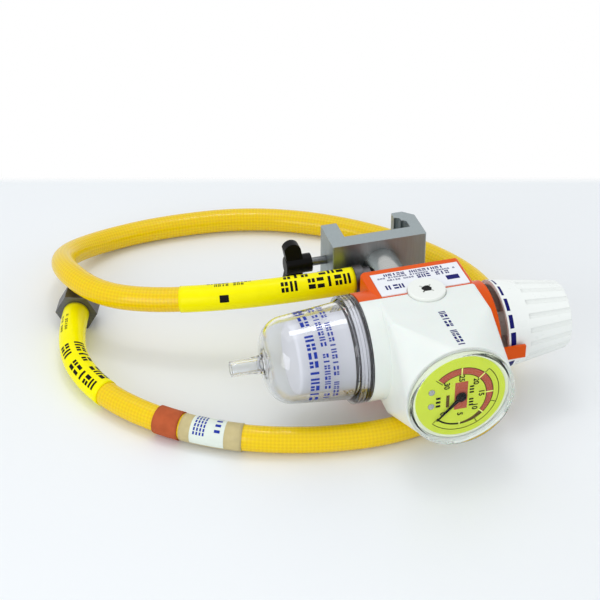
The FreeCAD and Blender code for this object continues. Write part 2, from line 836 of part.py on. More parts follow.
bonnet_start = membrane_top
bell_inside = bonnet_end - S.bonnet_wall
spindle_fit = S.spindle_radius + S.running_gap
bell = turned("bonnet_bell", [
    (bonnet_start, bonnet_bore), (bonnet_start, flange_radius),
    (bonnet_start + S.bonnet_flange, flange_radius), (bonnet_start + S.bonnet_flange, S.bonnet_radius),
    (bonnet_end, S.bonnet_radius), (bonnet_end, S.neck_radius),
    (neck_end, S.neck_radius), (neck_end, spindle_fit),
    (bell_inside, spindle_fit), (bell_inside, bonnet_bore),
])
RIB_WIDTH = 2.0
RIB_HEIGHT = 1.6
ribs = [
    block("bonnet_rib_" + side, (bell_inside - bonnet_start - S.bonnet_flange, RIB_HEIGHT + 1, RIB_WIDTH),
          (bonnet_start + S.bonnet_flange, SEAM_Y + offset, -RIB_WIDTH / 2))
    for side, offset in (("front", -bonnet_bore - 1), ("back", bonnet_bore - RIB_HEIGHT))
]
bonnet_holes = [
    cylinder("bonnet_hole_%d" % angle, S.bonnet_screw_radius + S.running_gap, S.tapped_length,
             on_bonnet(angle, BONNET_SCREW_START))
    for angle in bonnet_angles
]
node("bonnet", cut("bonnet", fuse("bonnet_solid", [bell] + ribs), bonnet_holes))

BONNET_HEAD_THICK = 1.6
bonnet_face = bonnet_start + S.bonnet_flange
bonnet_screws = []
for angle in bonnet_angles:
    bonnet_screws.append(turned("bonnet_screw_%d" % angle, [
        (0.2, 0), (0.2, S.bonnet_screw_radius),
        (bonnet_face - BONNET_SCREW_START, S.bonnet_screw_radius),
        (bonnet_face - BONNET_SCREW_START, S.bonnet_screw_head),
        (bonnet_face - BONNET_SCREW_START + BONNET_HEAD_THICK, S.bonnet_screw_head),
        (bonnet_face - BONNET_SCREW_START + BONNET_HEAD_THICK, 0),
    ], at=on_bonnet(angle, BONNET_SCREW_START)))
node("bonnet_screws", fuse("bonnet_screws", bonnet_screws))

# Spring, its carrier on the threaded spindle, and the spindle that the knob turns.
# Each edge of a spring's line holds one turn, so that its mesh closes.

COIL_SPAN = 1.0


def coil(label, radius, wire, turns, start, stop):
    """A wound spring along the knob's axis, its end coils clear of what they press on."""
    helix = document.addObject("Part::Helix", label + "_line")
    height = stop - start - wire * 1.04
    pitch = height / turns
    helix.Radius = length(radius).value
    helix.Pitch = pitch.value
    helix.Height = height.value
    helix.SegmentLength = COIL_SPAN
    bind(helix, "Radius", radius)
    bind(helix, "Pitch", pitch)
    bind(helix, "Height", height)
    along = FreeCAD.Rotation(FreeCAD.Vector(0, 1, 0), 90)
    first = start + wire * 0.52
    put(helix, (first, SEAM_Y, 0), along)
    section = document.addObject("Part::Circle", label + "_wire")
    section.Radius = (wire / 2).value
    bind(section, "Radius", wire / 2)
    put(section, (first, SEAM_Y, -radius), along * FreeCAD.Rotation(FreeCAD.Vector(1, 0, 0), 90))
    document.recompute()
    sweep = document.addObject("Part::Sweep", label)
    sweep.Sections = [section]
    sweep.Spine = (helix, ["Edge%d" % (index + 1) for index in range(len(helix.Shape.Edges))])
    sweep.Solid = True
    sweep.Frenet = True
    return sweep


node("control_spring", coil(
    "control_spring", S.spring_radius, S.spring_wire, S.spring_turns, plate_top, S.carrier_place
))
carrier_end = S.carrier_place + S.carrier_thick
carrier_radius = bonnet_bore - S.fit_gap
carrier_disc = turned("carrier_disc", [
    (S.carrier_place, spindle_fit), (S.carrier_place, carrier_radius),
    (carrier_end, carrier_radius), (carrier_end, spindle_fit),
])
notches = [
    block("carrier_notch_" + side, (S.carrier_thick + 2, RIB_HEIGHT + 1.3, RIB_WIDTH + 0.3),
          (S.carrier_place - 1, SEAM_Y + offset, -(RIB_WIDTH + 0.3) / 2))
    for side, offset in (("front", -bonnet_bore - 1), ("back", bonnet_bore - RIB_HEIGHT - 0.3))
]
node("spring_carrier", cut("spring_carrier", carrier_disc, notches))
thrust_end = bell_inside - S.running_gap
node("adjusting_spindle", turned("adjusting_spindle", [
    (S.spindle_start, 0), (S.spindle_start, S.spindle_radius),
    (thrust_end - S.thrust_thick, S.spindle_radius), (thrust_end - S.thrust_thick, S.thrust_radius),
    (thrust_end, S.thrust_radius), (thrust_end, S.spindle_radius),
    (spindle_end, S.spindle_radius), (spindle_end, 0),
]))

# Valve. The diaphragm pushes the pin, which lifts its head from the seat against a light spring.

seat_left = -S.block_left + PORT_DEPTH - SEAT_DEPTH
node("valve_seat", turned("valve_seat", [
    (seat_left, S.pin_radius + 0.6), (seat_left, S.seat_radius),
    (seat_left + SEAT_DEPTH, S.seat_radius), (seat_left + SEAT_DEPTH, S.pin_radius + 0.6),
]))
node("valve_pin", turned("valve_pin", [
    (seat_left - POPPET_THICK, 0), (seat_left - POPPET_THICK, S.pin_radius + 1.7),
    (seat_left, S.pin_radius + 1.7), (seat_left, S.pin_radius), (S.flange_thick, S.pin_radius),
    (S.flange_thick, 0),
]))
node("valve_spring", coil(
    "valve_spring", length(2.5), length(0.5), length(2.0), -S.block_left, seat_left - POPPET_THICK
))

# Gauge. A cup behind the lens holds the curved tube, the movement and the dial.

case_inner = case_body_radius - S.case_wall
case_cup = turned("case_cup", [
    (case_back, S.stem_radius), (case_back, case_body_radius),
    (case_front - S.case_flange, case_body_radius), (case_front - S.case_flange, case_radius),
    (case_front, case_radius), (case_front, case_inner),
    (case_back + S.case_wall, case_inner), (case_back + S.case_wall, S.stem_radius),
], turn=ALONG_FRONT)
screw_heights = (S.dial_screw_rise + S.dial_screw_spread, S.dial_screw_rise - S.dial_screw_spread)
dial_posts = [
    cylinder("dial_post_%d" % index, S.post_radius, case_front - case_back,
             (-dial_screw_side, SEAM_Y - case_back, height), ALONG_FRONT)
    for index, height in enumerate(screw_heights)
]
dial_screw_hole = S.dial_screw_length + 1
post_holes = [
    cylinder("dial_post_hole_%d" % index, S.dial_screw_radius + S.running_gap, dial_screw_hole * 2,
             (-dial_screw_side, SEAM_Y - case_front + dial_screw_hole, height), ALONG_FRONT)
    for index, height in enumerate(screw_heights)
]
node("gauge_case", cut("gauge_case", fuse("case_solid", [case_cup] + dial_posts), post_holes))
stem_end = tube_place + S.tube_radius
stem = turned("stem", [
    (stem_start, S.stem_bore), (stem_start, S.stem_radius - S.running_gap),
    (stem_end, S.stem_radius - S.running_gap), (stem_end, 0),
    (tube_place, 0), (tube_place, S.stem_bore),
], turn=ALONG_FRONT)
ARM_WIDTH = 5.0
arm = block(
    "stem_arm", (ARM_WIDTH, S.tube_radius * 2, S.tube_bend + S.tube_radius),
    (-ARM_WIDTH - 0.4, SEAM_Y - stem_end, -S.tube_bend - S.tube_radius),
)
node("gauge_socket", fuse("gauge_socket", [stem, arm]))
TUBE_SWEEP = 215
TUBE_FACES = FreeCAD.Rotation(FreeCAD.Vector(1, 0, 0), 90)


def ring_arc(label, bend, radius, start, sweep, depth):
    """Part of a ring about the gauge's axis, that far in front of the seam."""
    item = document.addObject("Part::Torus", label)
    item.Radius1 = length(bend).value
    item.Radius2 = length(radius).value
    item.Angle3 = sweep
    bind(item, "Radius1", bend)
    bind(item, "Radius2", radius)
    turn = TUBE_FACES * FreeCAD.Rotation(FreeCAD.Vector(0, 0, 1), start)
    return put(item, (0, SEAM_Y - depth, 0), turn)


node("bourdon_tube", cut("bourdon_tube", ring_arc(
    "tube_outside", S.tube_bend, S.tube_radius, -90, TUBE_SWEEP, tube_place
), [ring_arc("tube_inside", S.tube_bend, S.tube_radius - 0.5, -91, TUBE_SWEEP + 1, tube_place)]))
PLATE = 1.2
movement_parts = []
for name, depth in (("back", movement_back + PLATE), ("front", movement_front)):
    movement_parts.append(block(
        "movement_" + name, (S.movement_width, PLATE, S.movement_height),
        (-S.movement_width / 2, SEAM_Y - depth, -S.movement_height / 2),
    ))
for side in (-1, 1):
    movement_parts.append(cylinder(
        "movement_pillar_%d" % (side + 1), 1.3, movement_front - movement_back,
        ((S.movement_width / 2 - 2) * side, SEAM_Y - movement_back, 0), ALONG_FRONT,
    ))
movement_parts.append(cylinder(
    "movement_foot", 3.0, movement_back - stem_end + 0.2, (0, SEAM_Y - stem_end, 0), ALONG_FRONT
))
arbor_hole = cylinder(
    "arbor_hole", S.arbor_radius + S.running_gap, 20, (0, SEAM_Y - movement_back - PLATE, 0),
    ALONG_FRONT,
)
node("gauge_movement", cut("gauge_movement", fuse("movement_solid", movement_parts), [arbor_hole]))
dial_front = case_front + S.dial_thick
dial_disc = turned("dial_disc", [
    (case_front, S.arbor_radius + S.fit_gap), (case_front, dial_radius),
    (dial_front, dial_radius), (dial_front, S.arbor_radius + S.fit_gap),
], turn=ALONG_FRONT)
dial_holes = [
    cylinder("dial_hole_%d" % index, S.dial_screw_radius + S.running_gap, dial_screw_hole * 2,
             (-dial_screw_side, SEAM_Y - case_front + dial_screw_hole, height), ALONG_FRONT)
    for index, height in enumerate(screw_heights)
]
node("gauge_dial", cut("gauge_dial", dial_disc, dial_holes))
node("dial_screws", fuse("dial_screws", [
    turned("dial_screw_%d" % index, [
        (case_front - S.dial_screw_length, 0), (case_front - S.dial_screw_length, S.dial_screw_radius),
        (dial_front, S.dial_screw_radius), (dial_front, S.dial_screw_head),
        (dial_front + 0.5, S.dial_screw_head), (dial_front + 0.5, 0),
    ], at=(-dial_screw_side, SEAM_Y, height), turn=ALONG_FRONT)
    for index, height in enumerate(screw_heights)
]))
POINTER_ANGLE = -135
ARBOR_TAIL = 4
pointer_back = dial_front + S.pointer_lift
arbor = turned("pointer_arbor", [
    (movement_front - ARBOR_TAIL, 0), (movement_front - ARBOR_TAIL, S.arbor_radius),
    (pointer_back, S.arbor_radius),
    (pointer_back, S.pointer_hub_radius), (pointer_back + S.pointer_thick, S.pointer_hub_radius),
    (pointer_back + S.pointer_thick, 0),
], turn=ALONG_FRONT)
needle = new_body(
    "pointer_needle", (0, SEAM_Y - pointer_back, 0),
    FACING_FRONT * FreeCAD.Rotation(FreeCAD.Vector(0, 0, 1), POINTER_ANGLE),
)
pad(needle, [
    (-S.pointer_hub_radius, -S.pointer_width), (S.pointer_length, -S.pointer_width * 0.15),
    (S.pointer_length, S.pointer_width * 0.15), (-S.pointer_hub_radius, S.pointer_width),
], S.pointer_thick)
node("gauge_pointer", fuse("gauge_pointer", [arbor, needle]))
node("gauge_lens", turned("gauge_lens", [
    (case_front, lens_radius - S.lens_wall), (case_front, lens_radius),
    (lens_front - 0.8, lens_radius), (lens_front, lens_radius - 0.8), (lens_front, 0),
    (lens_front - S.lens_thick, 0), (lens_front - S.lens_thick, lens_radius - S.lens_wall),
], turn=ALONG_FRONT, arcs={2: (0.8, -1)}))

# Filter jar, blown in one piece, with the cup filter that it holds, its seal and its adaptor.

jar_neck_end = jar_face - S.jar_neck_length
jar_outline = [
    (-jar_neck_end, neck_bore), (-jar_neck_end, jar_neck_radius), (-jar_face, jar_neck_radius),
    (-jar_face, jar_flange_radius),
]
for turn in range(3):
    edge = -(jar_face + S.jar_groove_width * 1.4 + S.jar_groove_pitch * turn)
    jar_outline += [
        (edge, jar_flange_radius), (edge, jar_flange_radius - S.jar_groove),
        (edge - S.jar_groove_width, jar_flange_radius - S.jar_groove),
        (edge - S.jar_groove_width, jar_flange_radius),
    ]
jar_outline += [
    (-jar_flange_left, jar_flange_radius), (-jar_flange_left, jar_root_radius + 1),
    (-jar_flange_left - 1.2, jar_root_radius),
]
dome_start = len(jar_outline)
jar_outline += [
    (-jar_shoulder, jar_shoulder_radius), (-jar_dome, S.jar_dome_end_radius),
    (-nozzle_root, S.nozzle_root_radius), (-nozzle_straight, S.nozzle_radius),
    (-nozzle_end, S.nozzle_radius),
    (-nozzle_end, S.nozzle_bore), (-jar_dome - 1, S.nozzle_bore),
    (-jar_dome + S.jar_wall, S.jar_dome_end_radius + 0.2),
    (-jar_shoulder + 0.2, jar_shoulder_radius - S.jar_wall),
    (-jar_flange_left - 1.2, jar_root_radius - S.jar_wall), (-jar_flange_left + 2, neck_bore),
]
node("filter_jar", turned("filter_jar", jar_outline, arcs={
    dome_start: (S.jar_dome_radius, 1),
    dome_start + 1: (S.jar_flare_radius, -1),
    dome_start + 7: (S.jar_dome_radius - S.jar_wall, -1),
}))
filter_collar = neck_bore - S.fit_gap
node("filter_element", turned("filter_element", [
    (-filter_rim, filter_radius - S.filter_wall), (-filter_rim, filter_collar),
    (-filter_rim - S.filter_wall, filter_collar), (-filter_rim - S.filter_wall, filter_radius),
    (-filter_end + 2, filter_end_radius), (-filter_end, filter_end_radius - 2),
    (-filter_end, 0), (-filter_end + S.filter_wall, 0),
    (-filter_end + S.filter_wall, filter_end_radius - 2),
    (-filter_end + 2, filter_end_radius - S.filter_wall),
], arcs={4: (2, 1)}))
node("jar_seal", turned("jar_seal", [
    (-jar_face, jar_neck_radius + 0.3), (-jar_face, jar_flange_radius - 0.6),
    (-jar_face + S.seal_thick, jar_flange_radius - 0.6),
    (-jar_face + S.seal_thick, jar_neck_radius + 0.3),
]))
node("jar_adaptor", turned("jar_adaptor", [
    (-adaptor_start, jar_neck_radius + S.running_gap), (-adaptor_start, adaptor_radius),
    (-adaptor_floor, adaptor_radius), (-adaptor_floor, S.adaptor_hub),
    (-S.block_left, S.adaptor_hub), (-S.block_left, S.adaptor_bore),
    (-adaptor_floor - 2, S.adaptor_bore), (-adaptor_floor - 2, jar_neck_radius + S.running_gap),
]))

# Rail clamp, a length of extruded aluminium with a fixed hook and an ear for the screw.

clamp_screw_rise = S.pad_radius + S.pad_clearance
clamp = new_body("rail_clamp", (0, 0, 0))
pad(clamp, [
    (-S.ear_left_out, -S.bar_thick), (-S.ear_left_out, S.ear_left_reach),
    (-S.ear_left_in, S.ear_left_reach), (-S.ear_left_in, 0), (S.hook_back, 0),
    (S.hook_back, S.hook_lobe), (S.hook_back - S.hook_cusp, S.hook_lobe + S.hook_step),
    (S.ear_right_in, S.hook_rise), (S.ear_right_in, S.ear_right_reach),
    (S.ear_right_out - S.ear_chamfer, S.ear_right_reach),
    (S.ear_right_out, S.ear_right_reach - S.ear_chamfer * 0.9), (S.ear_right_out, -S.bar_thick),
], S.clamp_half_length * 2, offset=-S.clamp_half_length,
    arcs={5: (S.hook_lobe_radius, 1), 6: (S.hook_crest_radius, 1)})
soften(clamp, [
    (-S.ear_left_out, -S.bar_thick, 0), (S.ear_right_out, -S.bar_thick, 0),
    (-S.ear_left_out, S.ear_left_reach, 0), (-S.ear_left_in, S.ear_left_reach, 0),
    (S.ear_right_in, S.ear_right_reach, 0),
], 0.8)
pad_recess = 0.2
clamp_holes = [
    cylinder("clamp_screw_hole", S.clamp_screw_radius + S.running_gap, 14,
             (-S.ear_left_out - 2, clamp_screw_rise, 0)),
    cylinder("pad_recess", S.pad_radius + 0.3, 5,
             (-S.ear_left_in - S.pad_thick - pad_recess * 2, clamp_screw_rise, 0)),
    cylinder("boss_screw_hole", S.boss_screw_radius + S.running_gap, S.bar_thick + 2,
             (0, 1, 0), ALONG_FRONT),
    cylinder("boss_screw_sink", S.boss_screw_head + 0.3, S.boss_screw_sink + 1, (0, 1, 0), ALONG_FRONT),
]
node("rail_clamp", cut("rail_clamp", clamp, clamp_holes))
sink_floor = S.boss_screw_sink
boss_screw = turned("boss_screw_body", [
    (0.4, 0), (0.4, S.boss_screw_head), (sink_floor, S.boss_screw_head),
    (sink_floor, S.boss_screw_radius), (S.bar_thick + 7, S.boss_screw_radius), (S.bar_thick + 7, 0),
], at=(0, 0, 0), turn=ALONG_FRONT)
HEX_KEY = 3.0
key_body = new_body("boss_screw_key", (0, 0, 0), ALONG_FRONT)
pad(key_body, [
    (HEX_KEY * math.cos(math.radians(60 * turn)), HEX_KEY * math.sin(math.radians(60 * turn)))
    for turn in range(6)
], 2.4, role="YZ_Plane")
node("boss_screw", cut("boss_screw", boss_screw, [key_body]))
boss_body = turned("boss_body", [
    (S.block_rear, S.boss_bore), (S.block_rear, S.boss_radius),
    (S.seam_setback - S.bar_thick, S.boss_radius),
    (S.seam_setback - S.bar_thick, S.boss_screw_radius + S.running_gap),
    (S.seam_setback - S.bar_thick - 8, S.boss_screw_radius + S.running_gap),
    (S.seam_setback - S.bar_thick - 8, 0), (S.seam_setback - S.boss_port, 0),
    (S.seam_setback - S.boss_port, S.boss_bore),
], turn=ALONG_BACK)
tail_port = cylinder("tail_port", S.tail_thread, S.boss_radius + 1, (-S.boss_radius - 1, -S.boss_port, 0))
node("boss", cut("boss", boss_body, [tail_port]))

clamp_axis = (0, clamp_screw_rise, 0)
pad_left = S.ear_left_in + pad_recess
hub_right = S.ear_left_out + S.clamp_screw_reach
node("clamp_screw", turned("clamp_screw", [
    (-hub_right - S.knob_bore_depth, 0), (-hub_right - S.knob_bore_depth, S.clamp_screw_radius),
    (-pad_left - S.pad_thick, S.clamp_screw_radius), (-pad_left - S.pad_thick, 0),
], at=clamp_axis))
node("clamp_pad", turned("clamp_pad", [
    (-pad_left - S.pad_thick, 0), (-pad_left - S.pad_thick, S.pad_radius),
    (-pad_left, S.pad_radius), (-pad_left, 0),
], at=clamp_axis))
hub_left = hub_right + S.knob_hub_length
wing_knob = new_body("clamp_knob_body", clamp_axis)
revolve(wing_knob, [
    (-hub_right, 0), (-hub_right, S.wing_hub_radius), (-hub_left + 1, S.wing_hub_radius),
    (-hub_left, S.wing_hub_radius - 1), (-hub_left, 0),
], arcs={2: (1, 1)})
wing_tip = S.wing_span / 2 - S.wing_width * 0.375
wing_root = hub_left - 1.2
pad(wing_knob, [
    (-wing_root + S.wing_width, 0), (-wing_root + S.wing_width - S.wing_sweep, wing_tip),
    (-wing_root - S.wing_sweep, wing_tip), (-wing_root, 0),
    (-wing_root - S.wing_sweep, -wing_tip), (-wing_root + S.wing_width - S.wing_sweep, -wing_tip),
], S.wing_thick, role="XZ_Plane", arcs={1: (S.wing_width * 0.52, 1), 4: (S.wing_width * 0.52, 1)},
    name="Wings", mid=True)
node("clamp_knob", cut("clamp_knob", wing_knob, [cylinder(
    "clamp_knob_bore", S.clamp_screw_radius + S.running_gap / 2, S.knob_bore_depth,
    (-hub_right - S.knob_bore_depth, clamp_screw_rise, 0)
)]))
node("hose_tail", fuse("hose_tail", [
    cylinder("tail_stub", S.tail_thread - S.running_gap, S.boss_radius - S.boss_bore,
             (-S.boss_radius, -S.boss_port, 0)),
    cylinder("tail_collar", S.tail_radius, S.tail_collar_end - S.boss_radius,
             (-S.tail_collar_end, -S.boss_port, 0)),
]))

# Hose. Its line is made of straight runs and of arcs as large as their runs allow.


def read(name):
    """A size as it stands in the sheet."""
    return float(sheet.get(name))


class Route:
    """The hose's line, which can be followed between any two distances along it."""

    def __init__(self, points, share):
        corners = [FreeCAD.Vector(*point) for point in points]
        self.pieces = []
        self.radii = []
        start = corners[0]
        for before, corner, after in zip(corners, corners[1:], corners[2:]):
            inward = (corner - before).normalize()
            outward = (after - corner).normalize()
            turn = inward.getAngle(outward)
            reach = share * min((corner - before).Length, (after - corner).Length)
            radius = reach / math.tan(turn / 2)
            self.radii.append(radius)
            entry = corner - inward * reach
            bisector = (outward - inward).normalize()
            centre = corner + bisector * (radius / math.cos(turn / 2))
            self.pieces.append(("run", start, entry))
            self.pieces.append(("arc", entry, inward, centre, radius, turn))
            start = corner + outward * reach
        self.pieces.append(("run", start, corners[-1]))
        self.length = sum(self.size(piece) for piece in self.pieces)

    @staticmethod
    def size(piece):
        return (piece[2] - piece[1]).Length if piece[0] == "run" else piece[4] * piece[5]

    @staticmethod
    def point(piece, distance):
        """A place along one piece, and the way that the line runs there."""
        if piece[0] == "run":
            way = (piece[2] - piece[1]).normalize()
            return piece[1] + way * distance, way
        entry, inward, centre, radius = piece[1:5]
        turn = distance / radius
        inner = (centre - entry).normalize()
        place = centre - inner * radius * math.cos(turn) + inward * radius * math.sin(turn)
        return place, inward * math.cos(turn) + inner * math.sin(turn)

    def edges(self, start, stop):
        """The line's edges between two distances, and the place and way at its start."""
        found = []
        first = None
        passed = 0.0
        for piece in self.pieces:
            size = self.size(piece)
            low = max(start - passed, 0.0)
            high = min(stop - passed, size)
            passed += size
            if high - low < 1e-6:
                continue
            entry, way = self.point(piece, low)
            leave = self.point(piece, high)[0]
            if first is None:
                first = (entry, way)
            if piece[0] == "run":
                found.append(Part.LineSegment(entry, leave).toShape())
            else:
                middle = self.point(piece, (low + high) / 2)[0]
                found.append(Part.Arc(entry, middle, leave).toShape())
        return found, first


route = Route(HOSE_ROUTE, ARC_SHARE)


def tube_along(label, start, stop, outside, inside=0.0):
    """A round tube along the hose's line, hollow when it has an inside radius."""
    edges, (place, way) = route.edges(start, stop)
    line = Part.Wire(edges)

    def swept(radius):
        circle = Part.Wire([Part.Circle(place, way, radius).toShape()])
        return line.makePipeShell([circle], True, False)

    shape = swept(outside)
    if inside:
        shape = shape.cut(swept(inside))
    item = document.addObject("Part::Feature", label)
    item.Shape = shape
    item.Placement = FreeCAD.Placement()
    section = math.pi * (outside ** 2 - inside ** 2)
    print("%s volume over section times length: %.4f" % (
        label, shape.Volume / (section * (stop - start))
    ))
    return node(label, item)


print("hose length %.1f, corner radii %s" % (
    route.length, " ".join("%.0f" % radius for radius in route.radii)
))
hose_radius = read("hose_radius")
sleeve_bore = hose_radius + 0.05
sleeve_outside = sleeve_bore + read("sleeve_thick")
tube_along("vacuum_hose", 0, route.length, hose_radius)
ferrule_end = read("ferrule_length")
tube_along("hose_ferrule", 0, ferrule_end, sleeve_bore + read("ferrule_thick"), sleeve_bore)
tube_along(
    "near_label_sleeve", ferrule_end, ferrule_end + read("label_sleeve_near"), sleeve_outside, sleeve_bore
)
tube_along(
    "far_label_sleeve", route.length - read("label_sleeve_far"), route.length, sleeve_outside, sleeve_bore
)
band_end = route.length - read("red_band_from_probe")
band_start = band_end - read("red_band_length")
tube_along("red_band", band_start, band_end, sleeve_outside + 0.3, sleeve_bore)
tube_along(
    "tag_sleeve", band_start - 1 - read("tag_length"), band_start - 1, sleeve_outside, sleeve_bore
)

# Probe. It lies at the hose's end, in line with its last run, and rests on a flat of its nut.

hose_end = FreeCAD.Vector(*HOSE_ROUTE[-1])
last_run = hose_end - FreeCAD.Vector(*HOSE_ROUTE[-2])
probe_turn = FreeCAD.Rotation(
    FreeCAD.Vector(0, 0, 1), math.degrees(math.atan2(last_run.y, last_run.x))
)
probe_nut = new_body("probe_collar", tuple(hose_end), probe_turn)
corner_radius = S.probe_hex / math.sqrt(3)
pad(probe_nut, [
    (corner_radius * math.cos(math.radians(60 * turn)), corner_radius * math.sin(math.radians(60 * turn)))
    for turn in range(6)
], S.probe_collar_length, role="YZ_Plane")
node("probe_collar", probe_nut)
body_end = S.probe_collar_length + S.probe_body_length
nose_end = body_end + S.probe_nose_length
GROOVE_FROM_TIP = 5.0
GROOVE_WIDTH = 2.0
GROOVE_DEPTH = 1.0
node("probe_body", turned("probe_body", [
    (S.probe_collar_length, 0), (S.probe_collar_length, S.probe_body_radius),
    (body_end - 1, S.probe_body_radius), (body_end, S.probe_body_radius - 1),
    (body_end, S.probe_nose_radius),
    (nose_end - GROOVE_FROM_TIP - GROOVE_WIDTH, S.probe_nose_radius),
    (nose_end - GROOVE_FROM_TIP - GROOVE_WIDTH, S.probe_nose_radius - GROOVE_DEPTH),
    (nose_end - GROOVE_FROM_TIP, S.probe_nose_radius - GROOVE_DEPTH),
    (nose_end - GROOVE_FROM_TIP, S.probe_nose_radius), (nose_end - 0.8, S.probe_nose_radius),
    (nose_end, S.probe_nose_radius - 0.8), (nose_end, 1.6), (nose_end - 20, 1.6), (nose_end - 20, 0),
], at=tuple(hose_end), turn=probe_turn))
seal_radius = GROOVE_DEPTH * 0.62
probe_seal = document.addObject("Part::Torus", "probe_seal")
probe_seal.Radius1 = (S.probe_nose_radius - GROOVE_DEPTH + seal_radius + 0.03).value
bind(probe_seal, "Radius1", S.probe_nose_radius - GROOVE_DEPTH + seal_radius + 0.03)
probe_seal.Radius2 = seal_radius
seal_place = probe_turn.multVec(FreeCAD.Vector(1, 0, 0))
seal_along = nose_end - GROOVE_FROM_TIP - GROOVE_WIDTH / 2
put(probe_seal, (
    hose_end.x + seal_along * seal_place.x, hose_end.y + seal_along * seal_place.y, hose_end.z
), probe_turn * FreeCAD.Rotation(FreeCAD.Vector(0, 1, 0), 90))
node("probe_seal", probe_seal)

# Every object must have computed, and every sub-part must be sound, before a file is written.

document.recompute()
for item in document.Objects:
    if {"Invalid", "Error"} & set(item.State):
        raise RuntimeError("%s (%s) did not compute" % (item.Name, item.Label))
os.makedirs("parts", exist_ok=True)
for label, item in NODES.items():
    shape = item.Shape
    if shape.isNull() or not shape.isValid() or not shape.Solids:
        raise RuntimeError("%s is not a sound solid" % label)
    shape.exportStep("parts/%s.step" % label)
    box = shape.optimalBoundingBox(False)
    print("%-18s solids %2d volume %9.1f x %7.1f %7.1f y %7.1f %7.1f z %6.1f %6.1f" % (
        label, len(shape.Solids), shape.Volume,
        box.XMin, box.XMax, box.YMin, box.YMax, box.ZMin, box.ZMax,
    ))
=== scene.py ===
# %% [markdown]
# # A vacuum regulator with its hose
# The object is a small wall regulator for medical suction. Its rigid pieces come from the packed
# model, at their real size. This lesson gives them their finishes, lays the hose along its route,
# and adds what is printed or wound on them. Everything is in metres, in the model's own frame:
# X runs along the knob's axis, Y points into the wall rail, and Z is up.

# %% Load the fixed frame
import math

import bmesh
import bpy
from mathutils import Matrix, Vector
from mathutils.bvhtree import BVHTree


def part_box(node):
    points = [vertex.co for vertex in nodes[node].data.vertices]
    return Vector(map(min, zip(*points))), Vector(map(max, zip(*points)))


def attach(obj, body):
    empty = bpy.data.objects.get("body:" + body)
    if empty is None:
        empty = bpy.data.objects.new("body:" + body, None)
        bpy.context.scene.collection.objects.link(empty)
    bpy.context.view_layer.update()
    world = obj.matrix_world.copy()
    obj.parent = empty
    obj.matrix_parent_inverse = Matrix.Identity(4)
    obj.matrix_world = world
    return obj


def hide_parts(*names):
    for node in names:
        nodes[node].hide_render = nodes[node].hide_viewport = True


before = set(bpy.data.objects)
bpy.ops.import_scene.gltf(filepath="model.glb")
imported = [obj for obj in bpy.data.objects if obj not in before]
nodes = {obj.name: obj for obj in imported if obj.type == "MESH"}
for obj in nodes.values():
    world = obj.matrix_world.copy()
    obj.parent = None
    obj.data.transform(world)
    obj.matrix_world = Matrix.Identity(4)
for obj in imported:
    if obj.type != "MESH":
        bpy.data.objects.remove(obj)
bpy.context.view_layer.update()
MM = 0.001

# %% [markdown]
# ## Camera
# The photograph looks down on the object from the front left. A long lens keeps the parallel
# edges of the housing nearly parallel. The camera's place is a point in the frame, and its tilt
# comes from two angles, so there is no roll.

# %% Make the camera
CAMERA_PLACE = Vector((-0.2828, -0.8166, 0.5518))
CAMERA_AZIMUTH = math.radians(-16.25)
CAMERA_ELEVATION = math.radians(34.0)
LENS = 108
SENSOR = 36

away = Vector((
    math.sin(CAMERA_AZIMUTH) * math.cos(CAMERA_ELEVATION),
    -math.cos(CAMERA_AZIMUTH) * math.cos(CAMERA_ELEVATION),
    math.sin(CAMERA_ELEVATION),
))
camera_data = bpy.data.cameras.new("camera")
camera_data.lens = LENS
camera_data.sensor_width = SENSOR
camera = bpy.data.objects.new("camera", camera_data)
camera.location = CAMERA_PLACE
camera.rotation_mode = "QUATERNION"
camera.rotation_quaternion = away.to_track_quat("Z", "Y")
bpy.context.scene.collection.objects.link(camera)
bpy.context.scene.camera = camera

# %% [markdown]
# ## Floor and light
# The object lies on a pale glossy table whose far edge shows as a soft line, with nothing but
# white behind it. The table is one polygon that ends where that line is. The white behind is the
# world's colour, which only camera, mirror and glass rays see at full strength, so it doesn't
# add light. The lamps are large and soft, as in a photographer's light tent.

# %% Lay the floor
TABLE_HEIGHT = -0.0433
TABLE_BACK = 1.027
TABLE_FRONT = -1.5
TABLE_HALF_WIDTH = 2.0

forward = Vector((math.sin(-CAMERA_AZIMUTH), math.cos(CAMERA_AZIMUTH), 0))
sideways = Vector((forward.y, -forward.x, 0))
below_camera = Vector((CAMERA_PLACE.x, CAMERA_PLACE.y, TABLE_HEIGHT))


def link_mesh(name, points, faces):
    """A new mesh object from points and faces."""
    mesh = bpy.data.meshes.new(name)
    mesh.from_pydata([tuple(point) for point in points], [], faces)
    mesh.validate()
    mesh.update()
    obj = bpy.data.objects.new(name, mesh)
    bpy.context.scene.collection.objects.link(obj)
    return obj


floor = link_mesh("table", [
    below_camera + forward * TABLE_FRONT - sideways * TABLE_HALF_WIDTH,
    below_camera + forward * TABLE_FRONT + sideways * TABLE_HALF_WIDTH,
    below_camera + forward * TABLE_BACK + sideways * TABLE_HALF_WIDTH,
    below_camera + forward * TABLE_BACK - sideways * TABLE_HALF_WIDTH,
], [(0, 1, 2, 3)])

# %% [markdown]
# The table is white and a little glossy. Over its last few millimetres it grows transparent, so
# that its far edge is as soft against the white as a lens would draw it.

# %% Finish the floor
EDGE_FADE = 0.008

